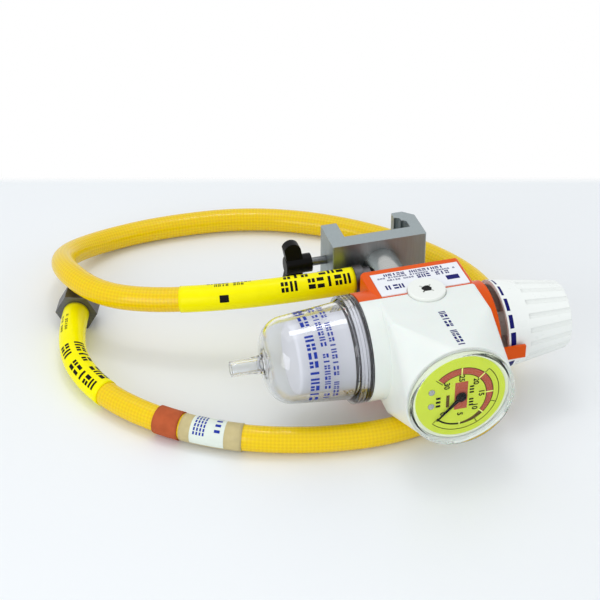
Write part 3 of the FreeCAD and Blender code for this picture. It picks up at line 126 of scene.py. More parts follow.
floor_material = bpy.data.materials.new("table_white")
floor_material.use_nodes = True
floor_nodes = floor_material.node_tree.nodes
floor_links = floor_material.node_tree.links
floor_shader = floor_nodes["Principled BSDF"]
floor_shader.inputs["Base Color"].default_value = (0.87, 0.89, 0.905, 1)
floor_shader.inputs["Roughness"].default_value = 0.35
floor_shader.inputs["Specular IOR Level"].default_value = 0.35
floor_place = floor_nodes.new("ShaderNodeTexCoord")
floor_depth = floor_nodes.new("ShaderNodeVectorMath")
floor_depth.operation = "DOT_PRODUCT"
floor_depth.inputs[1].default_value = forward
floor_fade = floor_nodes.new("ShaderNodeMapRange")
table_end = below_camera.dot(forward) + TABLE_BACK
floor_fade.inputs["From Min"].default_value = table_end - EDGE_FADE
floor_fade.inputs["From Max"].default_value = table_end
floor_through = floor_nodes.new("ShaderNodeBsdfTransparent")
floor_mix = floor_nodes.new("ShaderNodeMixShader")
floor_links.new(floor_place.outputs["Object"], floor_depth.inputs[0])
floor_links.new(floor_depth.outputs["Value"], floor_fade.inputs["Value"])
floor_links.new(floor_fade.outputs["Result"], floor_mix.inputs["Fac"])
floor_links.new(floor_shader.outputs[0], floor_mix.inputs[1])
floor_links.new(floor_through.outputs[0], floor_mix.inputs[2])
floor_links.new(floor_mix.outputs[0], floor_nodes["Material Output"].inputs["Surface"])
floor.data.materials.append(floor_material)

# %% Light the scene
WORLD_LIGHT = 0.74
SKY = (0.94, 0.97, 1.0, 1.0)

world = bpy.data.worlds.new("studio")
bpy.context.scene.world = world
world.use_nodes = True
world_nodes = world.node_tree.nodes
world_links = world.node_tree.links
world_nodes.clear()


def backdrop(colour, strength):
    """One even background."""
    made = world_nodes.new("ShaderNodeBackground")
    made.inputs["Color"].default_value = colour
    made.inputs["Strength"].default_value = strength
    return made.outputs[0]


def either(first, second):
    """1 where one of two kinds of ray is meant."""
    made = world_nodes.new("ShaderNodeMath")
    made.operation = "MAXIMUM"
    world_links.new(first, made.inputs[0])
    world_links.new(second, made.inputs[1])
    return made.outputs[0]


rays = world_nodes.new("ShaderNodeLightPath").outputs
seen = either(either(rays["Is Camera Ray"], rays["Is Glossy Ray"]), rays["Is Transmission Ray"])
choose = world_nodes.new("ShaderNodeMixShader")
world_links.new(seen, choose.inputs["Fac"])
world_links.new(backdrop(SKY, WORLD_LIGHT), choose.inputs[1])
world_links.new(backdrop((1, 1, 1, 1), 1), choose.inputs[2])
world_output = world_nodes.new("ShaderNodeOutputWorld")
world_links.new(choose.outputs[0], world_output.inputs["Surface"])


def lamp(name, place, aim, size, power):
    """A square soft box that shines from one point towards another."""
    data = bpy.data.lights.new(name, "AREA")
    data.size = size
    data.energy = power
    obj = bpy.data.objects.new(name, data)
    obj.location = place
    obj.rotation_mode = "QUATERNION"
    obj.rotation_quaternion = (Vector(place) - Vector(aim)).to_track_quat("Z", "Y")
    bpy.context.scene.collection.objects.link(obj)
    return obj


HOUSE_MIDDLE = (0, -0.083, 0)
lamp("overhead_box", (-0.1, 0.25, 1.1), HOUSE_MIDDLE, 0.9, 2.0)
lamp("sparkle_box", (0.0, 0.2, 1.0), HOUSE_MIDDLE, 0.2, 0.8)
lamp("left_box", (-0.9, -0.75, 0.4), HOUSE_MIDDLE, 0.7, 4.4)
lamp("right_box", (0.9, -0.75, 0.55), HOUSE_MIDDLE, 0.8, 1.3)
bpy.context.scene.view_settings.view_transform = "Standard"

# %% [markdown]
# ## Tools for finishes
# Each finish starts as a Principled shader. Its colour, roughness and bump come from small
# node trees in object coordinates, so a grain has the same real size on every piece. A Bevel
# node rounds the light on sharp edges, because a moulded or turned edge is never truly sharp.

# %% Start a material
def srgb(red, green, blue):
    """A colour that is written in 0 to 255 steps, as the shader wants it."""
    def linear(value):
        share = value / 255
        return share / 12.92 if share <= 0.04045 else ((share + 0.055) / 1.055) ** 2.4
    return (linear(red), linear(green), linear(blue), 1.0)


def shade(colour, factor):
    """The same colour, lighter or darker."""
    return tuple(min(channel * factor, 1.0) for channel in colour[:3]) + (1.0,)


class Finish:
    """A material with its Principled shader, and short ways to add nodes to it."""

    def __init__(self, name, colour, roughness, metallic=0.0):
        self.material = bpy.data.materials.new(name)
        self.material.use_nodes = True
        self.tree = self.material.node_tree
        self.shader = self.tree.nodes["Principled BSDF"]
        self.colour = colour
        self.shader.inputs["Base Color"].default_value = colour
        self.shader.inputs["Roughness"].default_value = roughness
        self.shader.inputs["Metallic"].default_value = metallic
        self.material.diffuse_color = colour

    def shine(self, level):
        """How strongly a plastic's own surface reflects, where 0.5 is common plastic."""
        self.shader.inputs["Specular IOR Level"].default_value = level

    def node(self, kind, **settings):
        made = self.tree.nodes.new(kind)
        for key, value in settings.items():
            setattr(made, key, value)
        return made

    def feed(self, source, target):
        self.tree.links.new(source, target)

    def place(self, stretch=(1, 1, 1)):
        """Object coordinates, scaled by axis, for grain that runs one way."""
        where = self.node("ShaderNodeTexCoord")
        mapping = self.node("ShaderNodeMapping")
        mapping.inputs["Scale"].default_value = stretch
        self.feed(where.outputs["Object"], mapping.inputs["Vector"])
        return mapping.outputs["Vector"]

    def noise(self, size, stretch=(1, 1, 1), detail=3.0):
        """Soft noise whose patches are about that many metres across."""
        texture = self.node("ShaderNodeTexNoise")
        texture.inputs["Scale"].default_value = 1 / size
        texture.inputs["Detail"].default_value = detail
        self.feed(self.place(stretch), texture.inputs["Vector"])
        return texture.outputs["Fac"]

    def spread(self, source, low, high):
        """The same pattern between two other values."""
        span = self.node("ShaderNodeMapRange")
        span.inputs["From Min"].default_value = 0.3
        span.inputs["From Max"].default_value = 0.7
        span.inputs["To Min"].default_value = low
        span.inputs["To Max"].default_value = high
        self.feed(source, span.inputs["Value"])
        return span.outputs["Result"]

    def tint(self, source, low, high):
        """The pattern as a colour between two colours, on the base colour."""
        blend = self.node("ShaderNodeMix", data_type="RGBA")
        blend.inputs["A"].default_value = low
        blend.inputs["B"].default_value = high
        self.feed(source, blend.inputs["Factor"])
        self.feed(blend.outputs["Result"], self.shader.inputs["Base Color"])
        return blend

    def shade_hollows(self, reach, low):
        """Paint shade into grooves and inner corners: the base colour darkens, down to a share,
        where they are enclosed.
        """
        source = self.shader.inputs["Base Color"].links[0].from_socket
        open_share = self.node("ShaderNodeAmbientOcclusion", samples=8)
        open_share.inputs["Distance"].default_value = reach
        span = self.node("ShaderNodeMapRange")
        span.inputs["From Min"].default_value = 0.35
        span.inputs["From Max"].default_value = 0.95
        span.inputs["To Min"].default_value = low
        self.feed(open_share.outputs["AO"], span.inputs["Value"])
        darker = self.node("ShaderNodeMix", data_type="RGBA", blend_type="MULTIPLY")
        darker.inputs["Factor"].default_value = 1.0
        self.feed(source, darker.inputs["A"])
        self.feed(span.outputs["Result"], darker.inputs["B"])
        self.feed(darker.outputs["Result"], self.shader.inputs["Base Color"])

    def relief(self, height, depth, edge=0.0003):
        """A bump of that depth in metres over edges that are rounded a little."""
        rounded = self.node("ShaderNodeBevel", samples=4)
        rounded.inputs["Radius"].default_value = edge
        bump = self.node("ShaderNodeBump")
        bump.inputs["Distance"].default_value = depth
        self.feed(height, bump.inputs["Height"])
        self.feed(rounded.outputs["Normal"], bump.inputs["Normal"])
        self.feed(bump.outputs["Normal"], self.shader.inputs["Normal"])
        return bump


# %% [markdown]
# ## Moulded plastics
# The covers, the knob and the ring are moulded with a fine satin texture. The grain is well
# under a millimetre and shallow. A second, wider noise shifts the gloss a little, as handling
# does, and a third keeps the colour from being perfectly even.

# %% Make the moulded finishes
def moulded(name, colour, roughness, grain=0.0005, depth=0.00001, tone=0.03, edge=0.0004):
    """Satin moulded plastic."""
    finish = Finish(name, colour, roughness)
    finish.tint(finish.spread(finish.noise(0.02), 0, 1), shade(colour, 1 - tone), colour)
    gloss = finish.spread(finish.noise(0.008), roughness - 0.05, roughness + 0.06)
    finish.feed(gloss, finish.shader.inputs["Roughness"])
    finish.relief(finish.noise(grain, detail=2.0), depth, edge)
    return finish


white_plastic = moulded("white_moulding", srgb(233, 238, 233), 0.34, edge=0.0006)
white_plastic.shader.inputs["Subsurface Weight"].default_value = 0.06
white_plastic.shader.inputs["Subsurface Scale"].default_value = 0.002
knob_plastic = moulded("knob_moulding", srgb(246, 249, 245), 0.30)
# Painted shade: the knob's flutes are darkened in their hollows.
knob_plastic.shade_hollows(0.003, 0.62)
orange_plastic = moulded("orange_moulding", srgb(230, 86, 0), 0.32, tone=0.06)
orange_plastic.shine(0.15)
black_plastic = moulded("black_moulding", srgb(7, 7, 8), 0.36, tone=0.2)
black_plastic.shine(0.1)
case_plastic = moulded("case_moulding", srgb(220, 227, 206), 0.4)
smoky_plastic = moulded("smoky_moulding", srgb(132, 128, 142), 0.4)
screw_plastic = moulded("screw_moulding", srgb(238, 241, 235), 0.4, edge=0.0003)
filter_white = moulded("sintered_filter", srgb(226, 226, 230), 0.85, grain=0.0012, depth=0.00006)
dark_rubber = moulded("dark_rubber", srgb(38, 36, 42), 0.55, tone=0.15)

# %% [markdown]
# ## Metals
# The clamp is cut from an aluminium extrusion, so its grain runs one way. Turned steel has fine
# rings across its axis. Both are noise that is stretched along one axis.

# %% Make the metal finishes
def drawn_metal(name, colour, roughness, stretch, depth=0.000008, contrast=0.12, edge=0.0004):
    """Metal with a grain that is stretched along the axis with the smallest scale."""
    finish = Finish(name, colour, roughness, metallic=1.0)
    grain = finish.noise(0.0006, stretch, detail=4.0)
    finish.tint(finish.spread(grain, 0, 1), shade(colour, 1 - contrast), colour)
    gloss = finish.spread(finish.noise(0.006), roughness - 0.06, roughness + 0.08)
    finish.feed(gloss, finish.shader.inputs["Roughness"])
    finish.relief(grain, depth, edge)
    return finish


aluminium = drawn_metal("satin_aluminium", srgb(158, 168, 171), 0.42, (1, 1, 0.06))
# Painted shade: the clamp's grooves and inner corners are darkened.
aluminium.shade_hollows(0.006, 0.45)
cast_metal = drawn_metal("cast_zinc", srgb(150, 152, 156), 0.5, (0.5, 0.5, 0.5))
turned_steel = drawn_metal(
    "turned_steel", srgb(186, 188, 186), 0.2, (0.01, 1.0, 0.01), depth=0.000002, contrast=0.12
)
rod_steel = drawn_metal("rod_steel", srgb(118, 121, 123), 0.32, (1.5, 0.05, 0.05), contrast=0.35)
fitting_steel = drawn_metal("fitting_steel", srgb(98, 97, 100), 0.34, (0.4, 0.4, 0.4), contrast=0.3)
brass = drawn_metal("brass", srgb(196, 160, 90), 0.3, (1, 0.3, 0.3))
dark_metal = drawn_metal("dark_metal", srgb(112, 113, 118), 0.42, (0.2, 0.2, 1.0), contrast=0.2)

# %% [markdown]
# ## Clear plastic
# The jar and the gauge's window are clear mouldings with real walls, so light bends through
# both faces. Lamps would cast black shadows through such glass, because the renderer follows
# no light that is bent on its way from a lamp. So shadow rays pass straight through instead.

# %% Make the clear finish
def clear_moulding(name, tint, roughness, ior=1.49):
    """Clear plastic that lets the lamps through."""
    finish = Finish(name, tint, roughness)
    finish.shader.inputs["Transmission Weight"].default_value = 1.0
    finish.shader.inputs["IOR"].default_value = ior
    rays_here = finish.node("ShaderNodeLightPath")
    through = finish.node("ShaderNodeBsdfTransparent")
    through.inputs["Color"].default_value = shade(tint, 0.97)
    both = finish.node("ShaderNodeMixShader")
    output = finish.tree.nodes["Material Output"]
    finish.feed(rays_here.outputs["Is Shadow Ray"], both.inputs["Fac"])
    finish.feed(finish.shader.outputs["BSDF"], both.inputs[1])
    finish.feed(through.outputs["BSDF"], both.inputs[2])
    finish.feed(both.outputs["Shader"], output.inputs["Surface"])
    finish.relief(finish.noise(0.012, detail=1.0), 0.00002, 0.0003)
    return finish


clear_jar = clear_moulding("clear_jar_moulding", (0.88, 0.895, 0.92, 1), 0.03)
clear_window = clear_moulding("clear_window_moulding", (0.985, 0.99, 0.985, 1), 0.01, ior=1.16)

# %% [markdown]
# ## Hose, films and inks
# The hose is a yellow braid under a clear skin. The braid is two sets of threads that wind
# round the hose opposite ways, so its relief is the product of two waves in the hose's own
# length and angle, which the tube carries as a UV map in metres and turns. The skin is a coat.

# %% Make the hose finish
BRAID_THREADS = 11
BRAID_PITCH = 0.0040


def braided(name, colour, thread):
    """Braid under a clear skin, drawn along the piece's own length and angle."""
    finish = Finish(name, colour, 0.42)
    where = finish.node("ShaderNodeUVMap", uv_map="along_and_round")
    parts = finish.node("ShaderNodeSeparateXYZ")
    finish.feed(where.outputs["UV"], parts.inputs[0])

    def wave(way):
        along = finish.node("ShaderNodeMath", operation="MULTIPLY")
        along.inputs[1].default_value = math.tau / BRAID_PITCH
        finish.feed(parts.outputs["X"], along.inputs[0])
        across = finish.node("ShaderNodeMath", operation="MULTIPLY_ADD")
        across.inputs[1].default_value = way * math.tau * BRAID_THREADS
        finish.feed(parts.outputs["Y"], across.inputs[0])
        finish.feed(along.outputs[0], across.inputs[2])
        sine = finish.node("ShaderNodeMath", operation="SINE")
        finish.feed(across.outputs[0], sine.inputs[0])
        return sine.outputs[0]

    weave = finish.node("ShaderNodeMath", operation="MULTIPLY")
    finish.feed(wave(1), weave.inputs[0])
    finish.feed(wave(-1), weave.inputs[1])
    level = finish.node("ShaderNodeMapRange")
    level.inputs["From Min"].default_value = -1
    finish.feed(weave.outputs[0], level.inputs["Value"])
    finish.tint(level.outputs["Result"], thread, colour)
    finish.relief(level.outputs["Result"], 0.00016, 0.0002)
    finish.shine(0.06)
    finish.shader.inputs["Coat Weight"].default_value = 0.5
    finish.shader.inputs["Coat Roughness"].default_value = 0.13
    finish.shader.inputs["Subsurface Weight"].default_value = 0.1
    finish.shader.inputs["Subsurface Scale"].default_value = 0.001
    return finish


hose_yellow = braided("braided_hose", srgb(243, 208, 0), srgb(230, 190, 0))


# %% Make the films and inks
def film(name, colour, roughness, tone=0.04, depth=0.000006):
    """Thin printed or plain film, slightly wavy."""
    finish = Finish(name, colour, roughness)
    finish.tint(finish.spread(finish.noise(0.006), 0, 1), shade(colour, 1 - tone), colour)
    finish.relief(finish.noise(0.003), depth, 0.0001)
    finish.shine(0.1)
    return finish


yellow_film = film("yellow_label_film", srgb(251, 242, 0), 0.24)
red_film = film("red_band_film", srgb(188, 92, 54), 0.6, tone=0.2)
tan_film = film("tan_sleeve_film", srgb(202, 187, 138), 0.28, tone=0.16)
tag_paper = film("tag_paper", srgb(226, 234, 224), 0.5)
label_white = film("label_film_white", srgb(240, 242, 246), 0.35)
lime_card = film("lime_dial_card", srgb(198, 216, 70), 0.5, tone=0.05)
dial_red = film("dial_red_ink", srgb(176, 88, 70), 0.5, tone=0.12)
dial_dark = film("dial_dark_ink", srgb(92, 70, 34), 0.5)
dial_pale = film("dial_pale_ink", srgb(226, 238, 128), 0.5)
black_ink_and_shade = film("black_ink_and_shade", srgb(10, 10, 10), 0.4)
navy_ink = film("navy_ink", srgb(14, 16, 104), 0.4)
blue_ink = film("blue_ink", srgb(36, 58, 158), 0.4)
pointer_black = film("pointer_black", srgb(14, 16, 18), 0.45)

# %% [markdown]
# ## Finishes on the rigid pieces
# Every rigid node keeps its shape. A table gives each one its finish by name.

# %% Give the nodes their finishes
FINISHES = {
    "front_cover": white_plastic, "rear_cover": orange_plastic, "label_plate": label_white,
    "cover_screws": screw_plastic, "index_ring": orange_plastic, "control_knob": knob_plastic,
    "regulator_block": cast_metal, "diaphragm": dark_rubber, "diaphragm_plate": aluminium,
    "bonnet": cast_metal, "bonnet_screws": turned_steel, "control_spring": rod_steel,
    "spring_carrier": brass, "adjusting_spindle": rod_steel, "valve_seat": brass,
    "valve_pin": rod_steel, "valve_spring": rod_steel, "gauge_case": case_plastic,
    "gauge_socket": brass, "bourdon_tube": brass, "gauge_movement": brass,
    "gauge_dial": lime_card, "dial_screws": turned_steel, "gauge_pointer": pointer_black,
    "gauge_lens": clear_window, "filter_jar": clear_jar, "filter_element": filter_white,
    "jar_seal": dark_rubber, "jar_adaptor": smoky_plastic, "rail_clamp": aluminium,
    "boss_screw": turned_steel, "boss": turned_steel, "clamp_screw": rod_steel,
    "clamp_pad": black_plastic, "clamp_knob": black_plastic, "hose_tail": fitting_steel,
    "hose_ferrule": fitting_steel, "probe_collar": dark_metal, "probe_body": turned_steel,
    "probe_seal": dark_rubber,
}
for name, finish in FINISHES.items():
    slots = nodes[name].data.materials
    slots.clear()
    slots.append(finish.material)
print("finished nodes:", len(FINISHES))

# %% [markdown]
# ## The hose's line
# A rubber hose lies in one smooth curve. Its route is a list of points, chosen from the
# photograph, and a NURBS spline with those points as control points runs along it. The curve
# itself shows nothing. Its points are read once, and the hose, its sleeves and its bands all
# follow them.

# %% Draw the line
HOSE_ROUTE = [
    (-15.0, -20.5, 0.0),
    (-49.0, -20.5, 0.0),
    (-97.0, -9.5, -4.8),
    (-135.3, 6.4, -9.3),
    (-157.7, 24.9, -11.5),
    (-170.2, 56.1, -13.4),
    (-165.4, 90.3, -26.0),
    (-139.6, 115.3, -35.7),
    (-98.0, 122.5, -36.3),
    (-45.0, 118.5, -36.3),
    (2.0, 96.5, -36.3),
    (42.0, 60.0, -36.3),
    (68.0, 15.0, -36.3),
    (67.5, -30.0, -36.3),
    (49.0, -68.0, -36.3),
    (18.0, -100.0, -36.3),
    (-24.0, -113.0, -36.3),
    (-70.0, -108.5, -36.1),
    (-113.0, -93.0, -35.7),
    (-148.0, -65.5, -35.4),
    (-171.0, -31.0, -35.6),
    (-178.5, 8.0, -32.8),
    (-167.4, 38.6, -32.8),
]


def line_points(route):
    """The points of a smooth curve along a route in millimetres."""
    data = bpy.data.curves.new("hose_line", "CURVE")
    data.dimensions = "3D"
    data.resolution_u = 24
    spline = data.splines.new("NURBS")
    spline.points.add(len(route) - 1)
    for point, place in zip(spline.points, route):
        point.co = (place[0] * MM, place[1] * MM, place[2] * MM, 1)
    spline.order_u = 3
    spline.use_endpoint_u = True
    obj = bpy.data.objects.new("hose_line", data)
    bpy.context.scene.collection.objects.link(obj)
    mesh = bpy.data.meshes.new_from_object(obj)
    found = [vertex.co.copy() for vertex in mesh.vertices]
    bpy.data.objects.remove(obj)
    bpy.data.meshes.remove(mesh)
    return found


class Line:
    """A line that can be followed by distance, with a way up that stays close to the world's."""

    def __init__(self, points):
        self.points = points
        self.at = [0.0]
        for before, after in zip(points, points[1:]):
            self.at.append(self.at[-1] + (after - before).length)
        self.length = self.at[-1]

    def place(self, distance):
        """The point, the way along, the way up and the way across at a distance."""
        distance = min(max(distance, 0.0), self.length)
        index = 1
        while index < len(self.at) - 1 and self.at[index] < distance:
            index += 1
        start = self.points[index - 1]
        end = self.points[index]
        share = (distance - self.at[index - 1]) / (self.at[index] - self.at[index - 1])
        before = self.points[max(index - 2, 0)]
        after = self.points[min(index + 1, len(self.points) - 1)]
        first_way = (end - before).normalized()
        next_way = (after - start).normalized()
        along = first_way.lerp(next_way, share).normalized()
        up = (Vector((0, 0, 1)) - along * along.z).normalized()
        return start.lerp(end, share), along, up, along.cross(up)

    def skin(self, distance, turn, radius):
        """A point on a tube round the line, where a turn of 0 is on top."""
        middle, along, up, across = self.place(distance)
        return middle + (up * math.cos(turn) + across * math.sin(turn)) * radius


line = Line(line_points(HOSE_ROUTE))
print("hose line, mm:", round(line.length / MM, 1), "points:", len(line.points))

# %% [markdown]
# ## Tubes along the line
# One function makes the hose and everything that is wrapped round it: rings of points round
# the line, faces between them and a flat face or an inner wall at the ends. It also writes the
# distance along and the turn round the tube as a UV map, which the braid needs.

# %% Make tubes
AROUND = 48


def tube(name, start, stop, radius, finish, inside=0.0, step=0.002, around=AROUND):
    """A closed tube between two distances along the hose's line."""
    count = max(2, math.ceil((stop - start) / step))
    stops = [start + (stop - start) * index / count for index in range(count + 1)]
    turns = [math.tau * index / around for index in range(around)]
    mesh = bmesh.new()
    map_layer = mesh.loops.layers.uv.new("along_and_round")
    rings = [[mesh.verts.new(line.skin(at, turn, radius)) for turn in turns] for at in stops]

    def wall(low_ring, high_ring, low_at, high_at):
        for index in range(around):
            following = (index + 1) % around
            corners = (low_ring[index], low_ring[following], high_ring[following], high_ring[index])
            face = mesh.faces.new(corners)
            face.smooth = True
            shares = (index, index + 1, index + 1, index)
            places = (low_at, low_at, high_at, high_at)
            for loop, share, at in zip(face.loops, shares, places):
                loop[map_layer].uv = (at, share / around)

    for index in range(count):
        wall(rings[index], rings[index + 1], stops[index], stops[index + 1])
    if inside:
        bores = [[mesh.verts.new(line.skin(at, turn, inside)) for turn in turns] for at in stops]
        for index in range(count):
            wall(bores[index + 1], bores[index], stops[index + 1], stops[index])
        wall(bores[0], rings[0], start, start)
        wall(rings[-1], bores[-1], stop, stop)
    else:
        mesh.faces.new(list(reversed(rings[0])))
        mesh.faces.new(rings[-1])
    mesh.normal_update()
    bmesh.ops.recalc_face_normals(mesh, faces=mesh.faces)
    data = bpy.data.meshes.new(name)
    mesh.to_mesh(data)
    mesh.free()
    data.materials.append(finish.material)
    obj = bpy.data.objects.new(name, data)
    bpy.context.scene.collection.objects.link(obj)
    for polygon in data.polygons:
        if len(polygon.vertices) > 4:
            polygon.use_smooth = False
    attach(obj, "housing")
    return obj


HOSE_RADIUS = 0.007
FILM = 0.0005
NEAR_LABEL = (0.005, 0.102)
FAR_LABEL_LENGTH = 0.080
BAND_FROM_END = 0.1315
BAND_LENGTH = 0.014
BAND_WALL = 0.00085
TAG_LENGTH = 0.033
TAG_GAP = 0.001

hose = tube("hose", 0, line.length, HOSE_RADIUS, hose_yellow, step=0.003)
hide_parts("vacuum_hose")

FILM_RADIUS = HOSE_RADIUS + FILM
near_label = tube("near_label", *NEAR_LABEL, FILM_RADIUS, yellow_film, inside=HOSE_RADIUS)
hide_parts("near_label_sleeve")

far_start = line.length - FAR_LABEL_LENGTH
far_label = tube("far_label", far_start, line.length, FILM_RADIUS, yellow_film, inside=HOSE_RADIUS)
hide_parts("far_label_sleeve")

band_start = line.length - BAND_FROM_END
band_stop = band_start + BAND_LENGTH
band = tube("band", band_start, band_stop, HOSE_RADIUS + BAND_WALL, red_film, inside=HOSE_RADIUS)
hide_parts("red_band")

tag_stop = band_start - TAG_GAP
tag_start = tag_stop - TAG_LENGTH
tag = tube("tag", tag_start, tag_stop, FILM_RADIUS, tan_film, inside=HOSE_RADIUS)
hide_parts("tag_sleeve")

# %% [markdown]
# ## What is printed on the hose
# The sleeves carry rows of print. Here each row is a set of plain signs, such as a post, slabs
# or bricks, with no letters. A sign is made of thin curved patches that lie just on the film,
# so it is a piece of mesh and not a picture.

# %% Make curved patches
INK_LIFT = 0.00006


def patches(name, faces, finish, body):
    """One object from many small patches, each a grid of points."""
    points = []
    quads = []
    for grid in faces:
        base = len(points)
        wide = len(grid[0])
        for row in grid:
            points.extend(row)
        for upper in range(len(grid) - 1):
            for left in range(wide - 1):
                corner = base + upper * wide + left
                quads.append((corner, corner + 1, corner + wide + 1, corner + wide))
    obj = link_mesh(name, points, quads)
    obj.data.materials.append(finish.material)
    for polygon in obj.data.polygons:
        polygon.use_smooth = True
    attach(obj, body)
    return obj


def on_hose(radius, low, high, first_turn, last_turn, steps=6):
    """A patch on a tube round the hose, between two distances and two turns."""
    along = [low + (high - low) * step / 4 for step in range(5)]
    round_it = [first_turn + (last_turn - first_turn) * step / steps for step in range(steps + 1)]
    return [[line.skin(at, turn, radius + INK_LIFT) for turn in round_it] for at in along]


SIGNS = {
    "post": ((0.3, 0.7, 0, 1),),
    "dots": ((0, 0.42, 0, 0.42), (0.58, 1, 0, 0.42), (0, 0.42, 0.58, 1), (0.58, 1, 0.58, 1)),
    "bricks": ((0, 1, 0, 0.42), (0, 0.42, 0.58, 1), (0.58, 1, 0.58, 1)),
    "shelf": ((0, 1, 0.6, 1), (0, 0.42, 0, 0.44), (0.58, 1, 0, 0.44)),
    "slabs": ((0, 1, 0.64, 1), (0, 1, 0, 0.36)),
    "pair": ((0, 0.36, 0, 1), (0.64, 1, 0, 1)),
    "block": ((0, 1, 0, 1),),
    "space": (),
}
LONG_LINE = (
    "pair", "shelf", "post", "slabs", "bricks", "space", "pair", "dots", "slabs", "shelf", "post",
)
SHORT_LINE = ("bricks", "pair", "slabs", "space", "shelf", "post", "dots", "pair")
ONE_BLOCK = ("block",)


def sign_row(start, stop, width, gap, order):
    """Plain signs along a row: rectangles (from, to, bottom, top), the last two in shares."""
    found = []
    at = start
    index = 0
    while at + width <= stop + 1e-6:
        for left, right, bottom, top in SIGNS[order[index % len(order)]]:
            found.append((at + left * width, at + right * width, bottom, top))
        at += width + gap
        index += 1
    return found


def sleeve_print(name, rows):
    """Black signs on a sleeve. A row is (start, stop, first turn, last turn, width, gap, order)."""
    ink = []
    for start, stop, first_turn, last_turn, width, gap, order in rows:
        first = math.radians(first_turn)
        span = math.radians(last_turn) - first
        for low, high, bottom, top in sign_row(start, stop, width, gap, order):
            ink.append(on_hose(FILM_RADIUS, low, high, first + bottom * span, first + top * span))
    return patches(name, ink, black_ink_and_shade, "housing")


near_print = sleeve_print("near_label_print", [
    (0.008, 0.050, -66, -20, 0.0038, 0.0011, LONG_LINE),
    (0.011, 0.045, -6, 40, 0.0038, 0.0011, SHORT_LINE),
    (0.066, 0.084, -6, 8, 0.0015, 0.0006, SHORT_LINE),
    (0.062, 0.088, 14, 26, 0.0015, 0.0006, LONG_LINE),
    (0.0745, 0.0795, -82, -50, 0.005, 0.001, ONE_BLOCK),
])
far_print = sleeve_print("far_label_print", [
    (far_start + 0.004, far_start + 0.044, -64, -20, 0.0038, 0.0011, LONG_LINE),
    (far_start + 0.004, far_start + 0.046, 4, 50, 0.0038, 0.0011, SHORT_LINE),
    (far_start + 0.055, far_start + 0.071, -54, -42, 0.0015, 0.0006, SHORT_LINE),
    (far_start + 0.055, far_start + 0.071, -30, -18, 0.0015, 0.0006, LONG_LINE),
])

paper_start = tag_stop - 0.024
paper_stop = tag_stop - 0.006
paper = patches("tag_card", [
    on_hose(FILM_RADIUS, paper_start, paper_stop, math.radians(-120), math.radians(120), steps=60)
], tag_paper, "housing")
tag_ink = []
for row in range(4):
    at = paper_stop - 0.0018 - row * 0.0017
    for share in range(8):
        turn = math.radians(-70 + share * 17)
        next_turn = turn + math.radians(13)
        tag_ink.append(on_hose(FILM_RADIUS + INK_LIFT, at - 0.0009, at, turn, next_turn))
for share in range(4):
    turn = math.radians(-48 + share * 26)
    at = paper_start + 0.0022
    tag_ink.append(on_hose(FILM_RADIUS + INK_LIFT, at, at + 0.003, turn, turn + math.radians(12)))
tag_print = patches("tag_print", tag_ink, blue_ink, "housing")

# %% [markdown]
# ## The gauge's dial
# The scale runs from 0 at the lower left, round the bottom and the right, to 30 at the upper
# left, because this gauge is mounted a quarter turn round. A band that widens with the reading
# lies between two thin lines, pale gaps cut it at each fifth step, and the numbers stand inside
# it. All of it is flat mesh just in front of the dial.

# %% Draw on the dial
DIAL_FACE = -0.1376
DIAL_INK = 0.00004
ZERO_TURN = math.radians(-135)
FULL_TURN = math.radians(135)
BAND_OUTSIDE = 0.0174
RED_FROM = 10
FULL_SCALE = 30
BAND_WIDTHS = ((0, 0.0005), (5, 0.0007), (10, 0.0022), (15, 0.0033), (20, 0.0036), (30, 0.0036))
DARK_TO = 5


def dial_point(radius, turn, lift):
    """A place on the dial, where a turn of 0 points to the right."""
    return Vector((radius * math.cos(turn), DIAL_FACE - lift, radius * math.sin(turn)))


def dial_turn(value):
    """The turn at which the needle shows that value."""
    return ZERO_TURN + (FULL_TURN - ZERO_TURN) * value / FULL_SCALE


def band_width(value):
    """How wide the band is at a value, in metres."""
    for before, after in zip(BAND_WIDTHS, BAND_WIDTHS[1:]):
        if value <= after[0]:
            share = (value - before[0]) / (after[0] - before[0])
            return before[1] + (after[1] - before[1]) * share
    return BAND_WIDTHS[-1][1]


def dial_arc(low, high, inside, outside, lift, steps=40):
    """Part of a ring between two turns. The radii may be numbers or change with the turn."""
    turns = [low + (high - low) * step / steps for step in range(steps + 1)]
    return [
        [dial_point(outside(turn) if callable(outside) else outside, turn, lift) for turn in turns],
        [dial_point(inside(turn) if callable(inside) else inside, turn, lift) for turn in turns],
    ]


def band_inside(turn):
    value = (turn - ZERO_TURN) / (FULL_TURN - ZERO_TURN) * FULL_SCALE
    return BAND_OUTSIDE - band_width(value)


def tick(turn, inside, outside, width, lift):
    """A short straight mark that points to the dial's middle."""
    across = Vector((-math.sin(turn), 0, math.cos(turn))) * (width / 2)
    near = dial_point(inside, turn, lift)
    far = dial_point(outside, turn, lift)
    return [[far - across, far + across], [near - across, near + across]]


def dial_block(left, right, low, high):
    """A flat upright rectangle on the dial."""
    y = DIAL_FACE - DIAL_INK
    return [[Vector((x, y, z)) for x in (left, right)] for z in (high, low)]


LINE_WIDTH = 0.0004
OUTER_LINE = 0.0205
GAP_INSIDE = 0.0006
GAP_OUTSIDE = 0.0003
GAP_WIDTH = 0.0007
red_turn = dial_turn(RED_FROM)
dark_turn = dial_turn(DARK_TO)
patches("dial_red_band", [
    dial_arc(red_turn, FULL_TURN, band_inside, BAND_OUTSIDE, DIAL_INK),
    dial_block(-0.0033, 0.0037, -0.008, 0.009),
], dial_red, "housing")
patches("dial_brown_band", [
    dial_arc(dark_turn, red_turn, band_inside, BAND_OUTSIDE, DIAL_INK),
    dial_block(-0.0078, -0.0060, -0.0056, 0.0020),
], dial_dark, "housing")


def line_inside(turn):
    return band_inside(turn) - LINE_WIDTH


